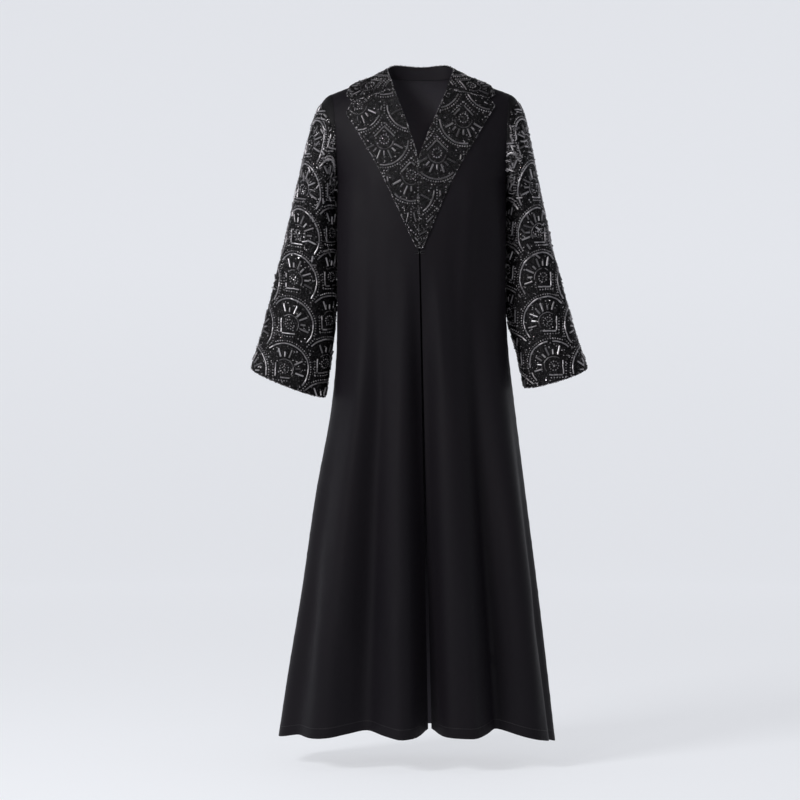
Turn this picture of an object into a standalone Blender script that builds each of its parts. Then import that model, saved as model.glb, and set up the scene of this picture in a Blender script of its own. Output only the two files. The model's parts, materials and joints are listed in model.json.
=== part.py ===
"""A worn abaya: an open-fronted, floor-length cloak with a notched collar and flared sleeves.

Metres, +Z up. The wearer faces -Y and their left is +X. The origin lies midway between the
two high shoulder points, where the shoulder seams meet the neck, so z is read downwards as on
a size chart. The garment is hollow, held up by the shoulders of a general figure.
"""

import math
from collections import namedtuple

import bpy
import numpy as np
from mathutils import Vector
from mathutils.bvhtree import BVHTree

LEFT, RIGHT = 1, -1  # the wearer's sides

CLOTH = 0.0015  # wall of the plain cloth
BEADED = 0.0020  # wall of the cloth that carries beads, with its backing
SEAM = 0.0003  # gap between two pieces at a seam

NECK_HALF = 0.071  # high shoulder point from the mid-plane
SHOULDER_HALF = 0.192  # shoulder point from the mid-plane
SHOULDER_DROP = 0.043  # shoulder point below the high shoulder point
SHOULDER_ROUND = 0.6  # below 1 the shoulder turns over more squarely
ARMHOLE_DROP = 0.194  # shoulder point to underarm
ARMHOLE_HALF_DEPTH = 0.062
ARMHOLE_SCOOP = 0.005  # the armhole's inward curve between shoulder and underarm
UNDERARM_Z = -SHOULDER_DROP - ARMHOLE_DROP
NAPE_ROUND = 0.045  # how broadly the two shoulder slopes run together behind the neck
UNDERARM_RISE = 0.015  # a row at the underarm climbs this much towards the mid-plane

SECTION_POWER_TOP, SECTION_POWER_HEM = 2.4, 2.1  # superellipse powers of the level sections
HEM_LEFT_Z, HEM_RIGHT_Z = -1.426, -1.416  # at the side seams
HEM_FRONT_Z, HEM_BACK_Z = -1.400, -1.412
HEM_DIP_POWER = 4.0  # how late the hem starts to dip towards the side seam

V_BOTTOM = 150 / 180  # share of the armhole's height where the V neck closes
V_CURVE = 1.6
# The front opening wanders from the mid-plane: at the V's foot and at the hem.
DRIFT_V, DRIFT_HEM = -0.006, 0.019
FRONT_EDGE_TOP, FRONT_EDGE_HEM = 0.0012, 0.0040  # front edge from the mid-plane
CLOSURE_Z = -0.379
RECESS_HEM = 0.070  # how far the front edges turn inwards at the hem
RECESS_HALF_WIDTH = 0.026
CORNER_RISE = 0.012  # the hem's front corners are rounded up by this much
CORNER_HALF_WIDTH = 0.016
HEM_LIFT = 0.25  # an inward fold lifts the hem by this share of its depth

BACK_NECK = 30 / 180  # where the centre back neck lies, as a share of the armhole's height
STAND_BACK, STAND_SIDE, STAND_FRONT = 0.026, 0.010, 0.003  # heights of the collar stand
STAND_FLAT = 0.6  # share of the back neck where the stand keeps its full height
STAND_LEAN = 0.10  # the stand leans in towards the neck, metres per metre of height
FOLD_RISE = 0.0018  # the collar's fold above the top of its stand
LAY_GAP = 0.0010  # collar and lapels lie this far off the cloth below
SETTLE_ROUNDS, SETTLE_SAMPLES = 6, 4

# Level sections of the body below the underarm, at the side seam's height.
Section = namedtuple("Section", "level left right front back")
SECTIONS = [
    Section(-0.237, 0.1830, 0.1785, 0.121, 0.117),
    Section(-0.350, 0.1825, 0.1785, 0.126, 0.119),
    Section(-0.500, 0.1825, 0.1785, 0.129, 0.121),
    Section(-0.600, 0.1885, 0.1800, 0.131, 0.124),
    Section(-0.700, 0.2000, 0.1890, 0.134, 0.129),
    Section(-0.900, 0.2250, 0.2245, 0.142, 0.143),
    Section(-1.100, 0.2505, 0.2535, 0.151, 0.158),
    Section(-1.300, 0.2740, 0.2865, 0.160, 0.172),
    Section(-1.435, 0.2890, 0.3065, 0.166, 0.180),
]

# Soft folds. share is 0 at the mid-plane and 1 at the side seam; amount is outwards at the hem.
Fold = namedtuple("Fold", "face side start share_start share_hem width amount")
FOLDS = [
    Fold("front", RIGHT, -0.36, 0.140, 0.100, 0.075, 0.012),
    Fold("front", RIGHT, -0.20, 0.330, 0.300, 0.090, -0.038),
    Fold("front", RIGHT, -0.16, 0.360, 0.520, 0.110, 0.014),
    Fold("front", RIGHT, -0.55, 0.700, 0.740, 0.110, -0.016),
    Fold("front", LEFT, -0.36, 0.150, 0.160, 0.080, 0.008),
    Fold("front", LEFT, -0.25, 0.380, 0.360, 0.095, -0.045),
    Fold("front", LEFT, -0.30, 0.600, 0.620, 0.120, 0.014),
    Fold("front", LEFT, -0.60, 0.800, 0.820, 0.090, -0.014),
    Fold("back", RIGHT, -0.22, 0.180, 0.200, 0.100, 0.020),
    Fold("back", RIGHT, -0.22, 0.400, 0.420, 0.100, -0.026),
    Fold("back", RIGHT, -0.30, 0.620, 0.650, 0.110, 0.018),
    Fold("back", LEFT, -0.26, 0.160, 0.140, 0.090, 0.018),
    Fold("back", LEFT, -0.24, 0.380, 0.360, 0.100, -0.024),
    Fold("back", LEFT, -0.34, 0.600, 0.600, 0.110, 0.020),
    Fold("back", LEFT, -0.70, 0.820, 0.820, 0.090, -0.014),
]

# Sleeve rings below the cap. outer and inner are the ring's two ends in the front view.
Ring = namedtuple("Ring", "outer_x outer_z inner_x inner_z half_depth middle_y")
LEFT_RINGS = [
    Ring(0.2430, -0.190, 0.1860, -0.262, 0.070, 0.012),
    Ring(0.2600, -0.270, 0.1858, -0.335, 0.068, 0.020),
    Ring(0.2815, -0.370, 0.1858, -0.430, 0.065, 0.020),
    Ring(0.3060, -0.465, 0.1872, -0.515, 0.062, 0.010),
    Ring(0.3310, -0.555, 0.2080, -0.598, 0.058, -0.005),
    Ring(0.3550, -0.627, 0.2220, -0.667, 0.054, -0.020),
]
RIGHT_RINGS = [
    Ring(0.2520, -0.190, 0.1815, -0.262, 0.070, 0.012),
    Ring(0.2710, -0.270, 0.1812, -0.335, 0.068, 0.022),
    Ring(0.2930, -0.370, 0.1812, -0.430, 0.065, 0.024),
    Ring(0.3160, -0.465, 0.1840, -0.524, 0.062, 0.014),
    Ring(0.3400, -0.557, 0.1940, -0.615, 0.058, -0.002),
    Ring(0.3610, -0.628, 0.2040, -0.688, 0.054, -0.018),
]
CAP_REACH_TOP, CAP_REACH_SIDE, CAP_REACH_UNDER = 0.100, 0.050, 0.016
CAP_DIP_UNDER = math.radians(10)  # the sleeve leaves the underarm nearly level
UNDERARM_SHARE = 0.85  # below this share of the armhole's height the sleeve butts on the body
CAP_END_REACH = 0.16
CUFF_POWER = 2.2
CUFF_BELLY = 0.011  # the cuff's front and back hang this much below its two ends
SLEEVE_GROOVE = 0.006  # a soft furrow down the front of each sleeve

# Rows of the armhole's height, in degrees from the shoulder point round to the underarm.
ARMHOLE_DEGREES = [0, 10, 20, 30, 40, 50, 65, 80, 100, 120, 140, 160, 180]
SKIRT_SHARES = [0.04, 0.09, 0.15, 0.22, 0.30, 0.38, 0.46, 0.54, 0.62, 0.70, 0.78, 0.85, 0.91, 0.96, 1.0]
FRONT_COLUMNS = 16
BACK_NECK_COLUMNS, BACK_SHOULDER_COLUMNS = 8, 9
CAP_ROWS = 5
ROWS_PER_RING = 2

# The lapel's outline on the front, from its peak down to the closure.
Outline = namedtuple("Outline", "x z")
LAPEL_OUTLINE = [
    Outline(0.156, -0.082),
    Outline(0.123, -0.138),
    Outline(0.089, -0.197),
    Outline(0.060, -0.255),
    Outline(0.036, -0.310),
    Outline(0.018, -0.352),
    Outline(0.006, -0.379),
]
GORGE_DEGREES = 50  # where the collar meets the lapel at the neck edge, on the armhole's scale
NOTCH_X, NOTCH_Z = 0.143, -0.062
LEFT_LIFT = 0.008  # the wearer's left lapel peak sits this much higher than the mean, the right lower
NOTCH_SHARE = 0.70  # the notch along the collar's front end
LAPEL_COLUMNS, LAPEL_ROWS = 6, 14

# The collar's outer edge from the centre back to its front tip. row is negative on the back.
CollarEdge = namedtuple("CollarEdge", "share x row")
COLLAR_EDGE = [
    CollarEdge(0.00, 0.000, -66 / 180),
    CollarEdge(0.25, 0.066, -61 / 180),
    CollarEdge(0.45, 0.110, -44 / 180),
    CollarEdge(0.60, 0.134, -22 / 180),
    CollarEdge(0.70, 0.143, 0.0),
    CollarEdge(0.85, 0.151, 18 / 180),
    CollarEdge(1.00, 0.156, 35 / 180),
]
COLLAR_ROWS = 7
COLLAR_END_BLEND = 0.22

# Half of the hook and eye at the closure: distance from the front edge and height.
Bend = namedtuple("Bend", "across up")
WIRE_BENDS = [
    Bend(0.0105, 0.0030),
    Bend(0.0045, 0.0026),
    Bend(0.0020, 0.0014),
    Bend(0.0014, 0.0),
    Bend(0.0020, -0.0014),
    Bend(0.0045, -0.0026),
    Bend(0.0105, -0.0030),
]
WIRE_RADIUS = 0.0006
WIRE_BELOW = 0.009  # the hook lies this far below the lapels' points

MATERIALS = {
    "crepe": ((0.012, 0.011, 0.015), 0.55, 0.0),
    "beaded": ((0.010, 0.009, 0.011), 0.35, 0.0),
    "wire": ((0.030, 0.030, 0.034), 0.35, 1.0),
}


def smooth_table(x, xs, ys):
    """A smooth curve through a table, in the manner of a draughtsman's spline."""
    xs, ys = np.asarray(xs, float), np.asarray(ys, float)
    if xs[0] > xs[-1]:
        xs, ys = xs[::-1], ys[::-1]
    x = min(max(x, xs[0]), xs[-1])
    slopes = np.gradient(ys, xs)
    i = min(int(np.searchsorted(xs, x, side="right")) - 1, len(xs) - 2)
    span = xs[i + 1] - xs[i]
    t = (x - xs[i]) / span
    return (
        (2 * t**3 - 3 * t**2 + 1) * ys[i]
        + (t**3 - 2 * t**2 + t) * span * slopes[i]
        + (3 * t**2 - 2 * t**3) * ys[i + 1]
        + (t**3 - t**2) * span * slopes[i + 1]
    )


def ease(x):
    """0 below 0, 1 above 1, and a smooth rise between."""
    x = min(max(x, 0.0), 1.0)
    return x * x * (3 - 2 * x)


def mix(a, b, share):
    return a + (b - a) * share


def slope_share(x, edge_x):
    """How far down the shoulder's slope x lies: 0 at the mid-plane, 1 at edge_x."""
    return (math.hypot(x, NAPE_ROUND) - NAPE_ROUND) / (math.hypot(edge_x, NAPE_ROUND) - NAPE_ROUND)


SLOPE_RISE = SHOULDER_DROP / (1 - slope_share(NECK_HALF, SHOULDER_HALF))


def unit(v):
    v = np.asarray(v, float)
    return v / max(np.linalg.norm(v), 1e-12)


class Row:
    """One level section of the body on one side and face.

    row runs from 0 at the shoulder seam to 1 at the underarm and 2 at the hem.
    """

    def __init__(self, side, row, back):
        self.side, self.row, self.back = side, row, back
        column = "left" if side == LEFT else "right"
        widths = [getattr(s, column) for s in SECTIONS]
        depths = [s.back if back else s.front for s in SECTIONS]
        levels = [s.level for s in SECTIONS]
        self.skirt = max(row - 1, 0.0)
        self.power = mix(SECTION_POWER_TOP, SECTION_POWER_HEM, self.skirt)
        if row <= 1:
            turn = math.pi * row
            self.side_z = -SHOULDER_DROP - ARMHOLE_DROP * (1 - math.cos(turn)) / 2
            self.centre_z = self.side_z + mix(SLOPE_RISE, UNDERARM_RISE, row)
            self.depth = depths[0] * math.sin(turn / 2) ** SHOULDER_ROUND
            self.edge_x = mix(SHOULDER_HALF, widths[0], row) - ARMHOLE_SCOOP * math.sin(turn)
            edge_y = ARMHOLE_HALF_DEPTH * math.sin(turn)
            ratio = edge_y / self.depth if row > 0 else 0.0
            self.edge_angle = math.acos(min(ratio, 1.0) ** (self.power / 2))
            self.width = self.edge_x / math.sin(self.edge_angle) ** (2 / self.power)
        else:
            hem_z = HEM_BACK_Z if back else HEM_FRONT_Z
            self.side_z = mix(UNDERARM_Z, HEM_LEFT_Z if side == LEFT else HEM_RIGHT_Z, self.skirt)
            self.centre_z = mix(UNDERARM_Z + UNDERARM_RISE, hem_z, self.skirt)
            self.depth = smooth_table(self.side_z, levels, depths)
            self.edge_x = self.width = smooth_table(self.side_z, levels, widths)
            self.edge_angle = math.pi / 2

    def angle(self, x):
        """The section angle, 0 at the mid-plane and a quarter turn at the side, at x."""
        return math.asin(min(x / self.width, 1.0) ** (self.power / 2))

    def point(self, angle):
        """A point of the cloth's middle surface on this row."""
        sine, cosine = math.sin(angle), max(math.cos(angle), 0.0)
        x = self.width * sine ** (2 / self.power)
        y = self.depth * cosine ** (2 / self.power)
        rise = slope_share(x, self.edge_x) ** mix(1.0, HEM_DIP_POWER, self.skirt)
        z = mix(self.centre_z, self.side_z, rise)
        out = unit((x / self.width**2 + 1e-9, y / max(self.depth, 1e-3) ** 2))
        bulge = fold_height(self.side, self.back, angle / (math.pi / 2), self.side_z)
        x, y = x + out[0] * bulge, y + out[1] * bulge
        z -= HEM_LIFT * bulge * self.skirt**4
        if self.back:
            return np.array((self.side * x, y, z))
        y -= recess(x, z)
        z += CORNER_RISE * self.skirt**8 * math.exp(-((x / CORNER_HALF_WIDTH) ** 2))
        return np.array((self.side * x + drift(z) * (1 - rise), -y, z))


def fold_height(side, back, share, z):
    """How far the folds push the cloth outwards there."""
    total = 0.0
    for fold in FOLDS:
        if fold.side != side or (fold.face == "back") != back:
            continue
        down = (fold.start - z) / (fold.start - HEM_LEFT_Z)
        if down <= 0:
            continue
        middle = mix(fold.share_start, fold.share_hem, down)
        near = math.exp(-(((share - middle) / fold.width) ** 2))
        total += fold.amount * ease(down * 1.15) * near
    return total * ease((1 - share) / 0.12)


def recess(x, z):
    """How far the front edges turn inwards below the closure."""
    down = (CLOSURE_Z - z) / (CLOSURE_Z - HEM_FRONT_Z)
    if down <= 0:
        return 0.0
    depth = RECESS_HEM * mix(0.35 * ease(down * 3), 1.0, down**1.6)
    return depth * math.exp(-((x / RECESS_HALF_WIDTH) ** 2))


def drift(z):
    """How far the front opening lies from the mid-plane at a height."""
    if z > UNDERARM_Z:
        return DRIFT_V * ease(z / UNDERARM_Z)
    return mix(DRIFT_V, DRIFT_HEM, (z - UNDERARM_Z) / (HEM_FRONT_Z - UNDERARM_Z))


def neck_edge_x(row):
    """The front edge of a front: the V neck, then the straight front edge."""
    below = mix(FRONT_EDGE_TOP, FRONT_EDGE_HEM, max(row - 1, 0.0))
    if row >= V_BOTTOM:
        return below
    return max(NECK_HALF * math.cos(math.pi / 2 * row / V_BOTTOM) ** V_CURVE, below)


def body_rows():
    return [d / 180 for d in ARMHOLE_DEGREES] + [1 + share for share in SKIRT_SHARES]


def front_points(side):
    """Rows from the shoulder seam to the hem, columns from the front edge to the side."""
    grid = []
    for r in body_rows():
        row = Row(side, r, back=False)
        start = row.angle(neck_edge_x(r))
        angles = [mix(start, row.edge_angle, (k / FRONT_COLUMNS) ** 1.15) for k in range(FRONT_COLUMNS + 1)]
        grid.append([row.point(a) for a in angles])
    return np.array(grid)


def back_half_points(side):
    """One half of the back, columns from the centre back to the side."""
    count = BACK_NECK_COLUMNS + BACK_SHOULDER_COLUMNS
    top_x = [NECK_HALF * math.sin(math.pi / 2 * k / BACK_NECK_COLUMNS) for k in range(BACK_NECK_COLUMNS)]
    top_x += [mix(NECK_HALF, SHOULDER_HALF, k / BACK_SHOULDER_COLUMNS) for k in range(BACK_SHOULDER_COLUMNS + 1)]
    grid = []
    for r in body_rows():
        spread = ease(r * 3)
        line = []
        for k in range(count + 1):
            start = BACK_NECK * math.sqrt(max(1 - (top_x[k] / NECK_HALF) ** 2, 0.0)) if k < BACK_NECK_COLUMNS else 0.0
            row = Row(side, mix(start, 1.0, r) if r < 1 else r, back=True)
            outer_share = max(top_x[k] - NECK_HALF, 0.0) / (SHOULDER_HALF - NECK_HALF)
            top_angle = row.angle(top_x[k] + (row.edge_x - SHOULDER_HALF) * outer_share)
            line.append(row.point(mix(top_angle, row.edge_angle * k / count, spread)))
        grid.append(line)
    return np.array(grid)


def back_points():
    """The back in one piece, from the wearer's right side seam to the left."""
    right, left = back_half_points(RIGHT), back_half_points(LEFT)
    middle = (right[:, :1] + left[:, :1]) / 2
    return np.concatenate([right[:, :0:-1], middle, left[:, 1:]], axis=1)


def armhole_points(side):
    """The armhole's loop from the shoulder point down the front and up the back."""
    rows = [d / 180 for d in ARMHOLE_DEGREES]
    front = [Row(side, r, back=False) for r in rows]
    back = [Row(side, r, back=True) for r in rows[-2:0:-1]]
    return [row.point(row.edge_angle) for row in front + back]


def sleeve_turns():
    """The same loop as angles, 0 at the outer side and a quarter turn at the front."""
    front = [math.radians(d) for d in ARMHOLE_DEGREES]
    return front + [2 * math.pi - t for t in front[-2:0:-1]]


def ring_point(side, position, turn):
    """A point of the sleeve below its cap; position counts along its rings."""
    rings = LEFT_RINGS if side == LEFT else RIGHT_RINGS
    at = Ring(*(smooth_table(position, range(len(rings)), column) for column in zip(*rings)))
    middle = np.array(((at.outer_x + at.inner_x) / 2, at.middle_y, (at.outer_z + at.inner_z) / 2))
    across = np.array((at.outer_x - at.inner_x, 0.0, at.outer_z - at.inner_z)) / 2
    cosine, sine = math.cos(turn), math.sin(turn)
    power = 2 / CUFF_POWER
    point = middle + across * math.copysign(abs(cosine) ** power, cosine)
    groove = SLEEVE_GROOVE * math.exp(-(((turn - math.radians(128)) / math.radians(16)) ** 2))
    point[1] -= (at.half_depth - groove) * math.copysign(abs(sine) ** power, sine)
    point[2] -= CUFF_BELLY * abs(sine) * (position / (len(rings) - 1)) ** 4
    point[0] *= side
    return point


def sleeve_points(side):
    """Rows from the armhole to the cuff; columns go round and close on themselves."""
    slope = math.atan2(SHOULDER_DROP, SHOULDER_HALF - NECK_HALF)
    armhole, turns = armhole_points(side), sleeve_turns()
    columns = []
    for start, turn in zip(armhole, turns):
        under = (1 - math.cos(turn)) / 2
        side_on = abs(math.sin(turn))
        reach = mix(mix(CAP_REACH_TOP, CAP_REACH_UNDER, under), CAP_REACH_SIDE, side_on**2)
        dip = mix(slope, math.radians(60), under)
        if under > UNDERARM_SHARE:
            dip = CAP_DIP_UNDER
            start = start + np.array((side * (CLOTH / 2 + BEADED / 2 + SEAM / 2), 0.0, 0.0))
        leave = reach * np.array((side * math.cos(dip), -0.15 * math.sin(turn), -math.sin(dip)))
        end = ring_point(side, 0.0, turn)
        below = ring_point(side, 0.5, turn)
        arrive = unit(below - end) * mix(CAP_END_REACH, 0.03, under)
        column = []
        for k in range(CAP_ROWS):
            t = k / CAP_ROWS
            column.append(
                (2 * t**3 - 3 * t**2 + 1) * start
                + (t**3 - 2 * t**2 + t) * leave
                + (3 * t**2 - 2 * t**3) * end
                + (t**3 - t**2) * arrive
            )
        steps = (len(LEFT_RINGS) - 1) * ROWS_PER_RING
        column += [ring_point(side, k / ROWS_PER_RING, turn) for k in range(steps + 1)]
        columns.append(column)
    return np.array(columns).transpose(1, 0, 2)


def grid_normals(grid, closed):
    """Outward unit normals of a grid whose rows go down and whose columns go across."""
    across = np.empty_like(grid)
    if closed:
        across = np.roll(grid, -1, axis=1) - np.roll(grid, 1, axis=1)
    else:
        across[:, 1:-1] = grid[:, 2:] - grid[:, :-2]
        across[:, 0], across[:, -1] = grid[:, 1] - grid[:, 0], grid[:, -1] - grid[:, -2]
    down = np.empty_like(grid)
    down[1:-1] = grid[2:] - grid[:-2]
    down[0], down[-1] = grid[1] - grid[0], grid[-1] - grid[-2]
    normals = np.cross(down, across)
    return normals / np.maximum(np.linalg.norm(normals, axis=2, keepdims=True), 1e-12)


class Cloth:
    """A piece of cloth: its middle surface, outward normals and wall thickness."""

    def __init__(self, name, grid, thickness, material, closed=False, flip=False, seams=()):
        self.name, self.grid, self.thickness, self.material = name, grid, thickness, material
        self.closed, self.seams = closed, seams
        self.normals = grid_normals(grid, closed) * (-1 if flip else 1)
        self.flip = flip

    def open_seams(self):
        """Draws the edges that are sewn to another piece back by half the seam's gap."""
        grid = self.grid.copy()
        if "top" in self.seams:
            grid[0] += SEAM / 2 * unit_rows(self.grid[1] - self.grid[0])
        if "first" in self.seams:
            grid[:, 0] += SEAM / 2 * unit_rows(self.grid[:, 1] - self.grid[:, 0])
        if "last" in self.seams:
            grid[:, -1] += SEAM / 2 * unit_rows(self.grid[:, -2] - self.grid[:, -1])
        self.grid = grid

    def build(self, collection):
        """Makes the closed wall: outer skin, inner skin and the rim between them."""
        rows, columns = self.grid.shape[:2]
        half = self.normals * self.thickness / 2
        outer, inner = self.grid + half, self.grid - half
        vertices = np.concatenate([outer.reshape(-1, 3), inner.reshape(-1, 3)])
        count = rows * columns
        spans = columns if self.closed else columns - 1

        def at(r, c, skin=0):
            return skin * count + r * columns + c % columns

        faces = []
        for r in range(rows - 1):
            for c in range(spans):
                faces.append((at(r, c), at(r + 1, c), at(r + 1, c + 1), at(r, c + 1)))
                faces.append((at(r, c, 1), at(r, c + 1, 1), at(r + 1, c + 1, 1), at(r + 1, c, 1)))
        for c in range(spans):
            faces.append((at(0, c), at(0, c + 1), at(0, c + 1, 1), at(0, c, 1)))
            faces.append((at(rows - 1, c), at(rows - 1, c, 1), at(rows - 1, c + 1, 1), at(rows - 1, c + 1)))
        if not self.closed:
            for r in range(rows - 1):
                faces.append((at(r, 0), at(r, 0, 1), at(r + 1, 0, 1), at(r + 1, 0)))
                last = columns - 1
                faces.append((at(r, last), at(r + 1, last), at(r + 1, last, 1), at(r, last, 1)))
        if self.flip:
            faces = [face[::-1] for face in faces]
        mesh = bpy.data.meshes.new(self.name)
        mesh.from_pydata([tuple(v) for v in vertices], [], faces)
        mesh.materials.append(self.material)
        mesh.shade_smooth()
        mesh.set_sharp_from_angle(angle=math.radians(40))
        made = bpy.data.objects.new(self.name, mesh)
        collection.objects.link(made)
        return made


def unit_rows(vectors):
    return vectors / np.maximum(np.linalg.norm(vectors, axis=-1, keepdims=True), 1e-12)


def share_seam_normals(pieces):
    """Where two pieces meet at a point, both walls end on the same plane."""
    found = {}
    for piece in pieces:
        for index in np.ndindex(piece.grid.shape[:2]):
            key = tuple(np.round(piece.grid[index], 6))
            found.setdefault(key, []).append((piece, index))
    for places in found.values():
        if len(places) > 1:
            normal = unit(sum(piece.normals[index] for piece, index in places))
            for piece, index in places:
                piece.normals[index] = normal


def outer_skin(pieces):
    """The outer faces of some pieces, to measure the room above them."""
    vertices, faces = [], []
    for piece in pieces:
        start = len(vertices)
        rows, columns = piece.grid.shape[:2]
        vertices += [tuple(v) for v in (piece.grid + piece.normals * piece.thickness / 2).reshape(-1, 3)]
        for r in range(rows - 1):
            for c in range(columns if piece.closed else columns - 1):
                corners = (r * columns + c, (r + 1) * columns + c)
                across = (c + 1) % columns
                face = (start + corners[0], start + corners[1], start + corners[1] - c + across)
                face += (start + corners[0] - c + across,)
                faces.append(face[::-1] if piece.flip else face)
    return BVHTree.FromPolygons(vertices, faces)


def settle(piece, below):
    """Lifts a piece that lies on others until its faces clear them between its points too."""
    steps = [k / SETTLE_SAMPLES for k in range(SETTLE_SAMPLES + 1)]
    weights = [((1 - u) * (1 - v), u * (1 - v), u * v, (1 - u) * v) for u in steps for v in steps]
    for _ in range(SETTLE_ROUNDS):
        lift = np.zeros(piece.grid.shape[:2])
        for r in range(piece.grid.shape[0] - 1):
            for c in range(piece.grid.shape[1] - 1):
                corners = [(r, c), (r + 1, c), (r + 1, c + 1), (r, c + 1)]
                points = [piece.grid[i] - piece.normals[i] * piece.thickness / 2 for i in corners]
                for weight in weights:
                    point = sum(w * p for w, p in zip(weight, points))
                    nearest, normal, _, _ = below.find_nearest(Vector(point))
                    shortage = LAY_GAP - (Vector(point) - nearest).dot(normal)
                    if shortage > 0:
                        for i in corners:
                            lift[i] = max(lift[i], shortage)
        piece.grid = piece.grid + piece.normals * lift[..., None]


def skin_point(side, x, row):
    """The body's middle surface at x on a row; a negative row is on the back."""
    line = Row(side, abs(row), back=row < 0)
    return line.point(min(line.angle(x), line.edge_angle))


def skin_normal(side, x, row):
    """The outward direction there, from two short steps on the surface."""
    step = 0.004
    low = max(x - step, 0.0005)
    across = skin_point(side, x + step, row) - skin_point(side, low, row)
    down = skin_point(side, x, row + step) - skin_point(side, x, row - step)
    return side * unit(np.cross(down, across))


def row_of(side, z, x_at):
    """The front row that passes through z where x is x_at(row)."""
    low, high = 0.0, 2.0
    for _ in range(30):
        row = (low + high) / 2
        if skin_point(side, x_at(row), row)[2] > z:
            low = row
        else:
            high = row
    return (low + high) / 2


def lapel_points(side):
    """Lies on the front. Rows from the gorge and notch down, columns from the neck edge out."""
    off = CLOTH / 2 + LAY_GAP + BEADED / 2
    gorge = GORGE_DEGREES / 180
    gorge_x, gorge_z = neck_edge_x(gorge), skin_point(side, neck_edge_x(gorge), gorge)[2]
    marks = np.linspace(0.0, 1.0, len(LAPEL_OUTLINE))
    outer = [Outline(o.x, o.z + side * LEFT_LIFT * (1 - m) ** 2) for o, m in zip(LAPEL_OUTLINE, marks)]
    kink_x = NOTCH_X - mix(gorge_x, outer[0].x, NOTCH_SHARE)
    kink_z = NOTCH_Z + side * LEFT_LIFT / 2 - mix(gorge_z, outer[0].z, NOTCH_SHARE)
    grid = []
    for j in range(LAPEL_ROWS + 1):
        share = j / LAPEL_ROWS
        edge_z = mix(gorge_z, outer[-1].z, share)
        edge_x = neck_edge_x(row_of(side, edge_z, neck_edge_x))
        out_x = smooth_table(share, marks, [o.x for o in outer])
        out_z = smooth_table(share, marks, [o.z for o in outer])
        line = []
        for k in range(LAPEL_COLUMNS + 1):
            across = k / LAPEL_COLUMNS
            kink = min(across / NOTCH_SHARE, (1 - across) / (1 - NOTCH_SHARE)) * (1 - share) ** 4
            x = max(mix(edge_x, out_x, across) + kink * kink_x, FRONT_EDGE_TOP)
            z = mix(edge_z, out_z, across) + kink * kink_z
            row = row_of(side, z, lambda _, x=x: x)
            line.append(skin_point(side, x, row) + off * skin_normal(side, x, row))
        grid.append(line)
    return np.array(grid)


def neckline():
    """x and row along half the neck seam, from the centre back round to the gorge."""
    turns = [math.pi / 2 * k / BACK_NECK_COLUMNS for k in range(BACK_NECK_COLUMNS)]
    seam = [(NECK_HALF * math.sin(t), -BACK_NECK * math.cos(t)) for t in turns]
    return seam + [(neck_edge_x(d / 180), d / 180) for d in ARMHOLE_DEGREES if d <= GORGE_DEGREES]


def stand_height(place):
    """Height of the collar stand; place is 0 at the centre back and 1 at the gorge."""
    shoulder = BACK_NECK_COLUMNS / (len(neckline()) - 1)
    marks = [0.0, shoulder * STAND_FLAT, shoulder, 1.0]
    return smooth_table(place, marks, [STAND_BACK, STAND_BACK, STAND_SIDE, STAND_FRONT])


def stand_foot(side, x, row):
    """Foot of the collar stand, a seam's gap inside the neck edge, and the way inwards."""
    point = skin_point(side, x, row)
    if row <= 0:
        inward = np.array((-side * x, -abs(point[1]), 0.0))
    else:
        inward = np.array((-side, 0.35, 0.0))
    inward = unit(inward + np.array((0.0, -1e-6, 0.0)))
    return point + inward * (CLOTH / 2 + SEAM), inward


def both_sides(column_at):
    """Columns from the wearer's right gorge round the back neck to the left gorge."""
    seam = neckline()
    last = len(seam) - 1
    columns = [column_at(RIGHT, seam[k], k / last) for k in range(last, 0, -1)]
    columns += [column_at(LEFT, seam[k], k / last) for k in range(last + 1)]
    return np.array(columns).transpose(1, 0, 2)


def stand_column(side, place_on_seam, place):
    """One column of the collar stand, from its top edge down to its foot."""
    foot, inward = stand_foot(side, *place_on_seam)
    lean = inward * STAND_LEAN + np.array((0.0, 0.0, 1.0))
    return [foot + lean * stand_height(place) * up for up in (1.0, 0.5, 0.0)]


def collar_column(side, place_on_seam, place):
    """One column of the turned-down collar, from the fold to its outer edge."""
    marks = [e.share for e in COLLAR_EDGE]
    off = CLOTH / 2 + LAY_GAP + BEADED / 2
    neck_x, neck_row = place_on_seam
    edge_x = smooth_table(place, marks, [e.x for e in COLLAR_EDGE])
    edge_row = smooth_table(place, marks, [e.row for e in COLLAR_EDGE])
    _, inward = stand_foot(side, *place_on_seam)
    out = (CLOTH + BEADED) / 2 + SEAM
    fold = stand_column(side, place_on_seam, place)[0] - inward * out + np.array((0.0, 0.0, FOLD_RISE))
    rest = skin_point(side, neck_x, neck_row) + off * skin_normal(side, neck_x, neck_row)
    notch_row = row_of(side, NOTCH_Z + side * LEFT_LIFT / 2, lambda _: NOTCH_X)
    kink_x = NOTCH_X - mix(neck_x, edge_x, NOTCH_SHARE)
    kink_row = notch_row - mix(neck_row, edge_row, NOTCH_SHARE)
    end = ease((place - 1 + COLLAR_END_BLEND) / COLLAR_END_BLEND)
    column = []
    for j in range(COLLAR_ROWS + 1):
        across = j / COLLAR_ROWS
        kink = end * min(across / NOTCH_SHARE, (1 - across) / (1 - NOTCH_SHARE))
        x = mix(neck_x, edge_x, across) + kink * kink_x
        row = mix(neck_row, edge_row, across) + kink * kink_row
        on_body = skin_point(side, x, row) + off * skin_normal(side, x, row)
        column.append(on_body + (fold - rest) * (1 - across) ** 2.5)
    return column


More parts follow.
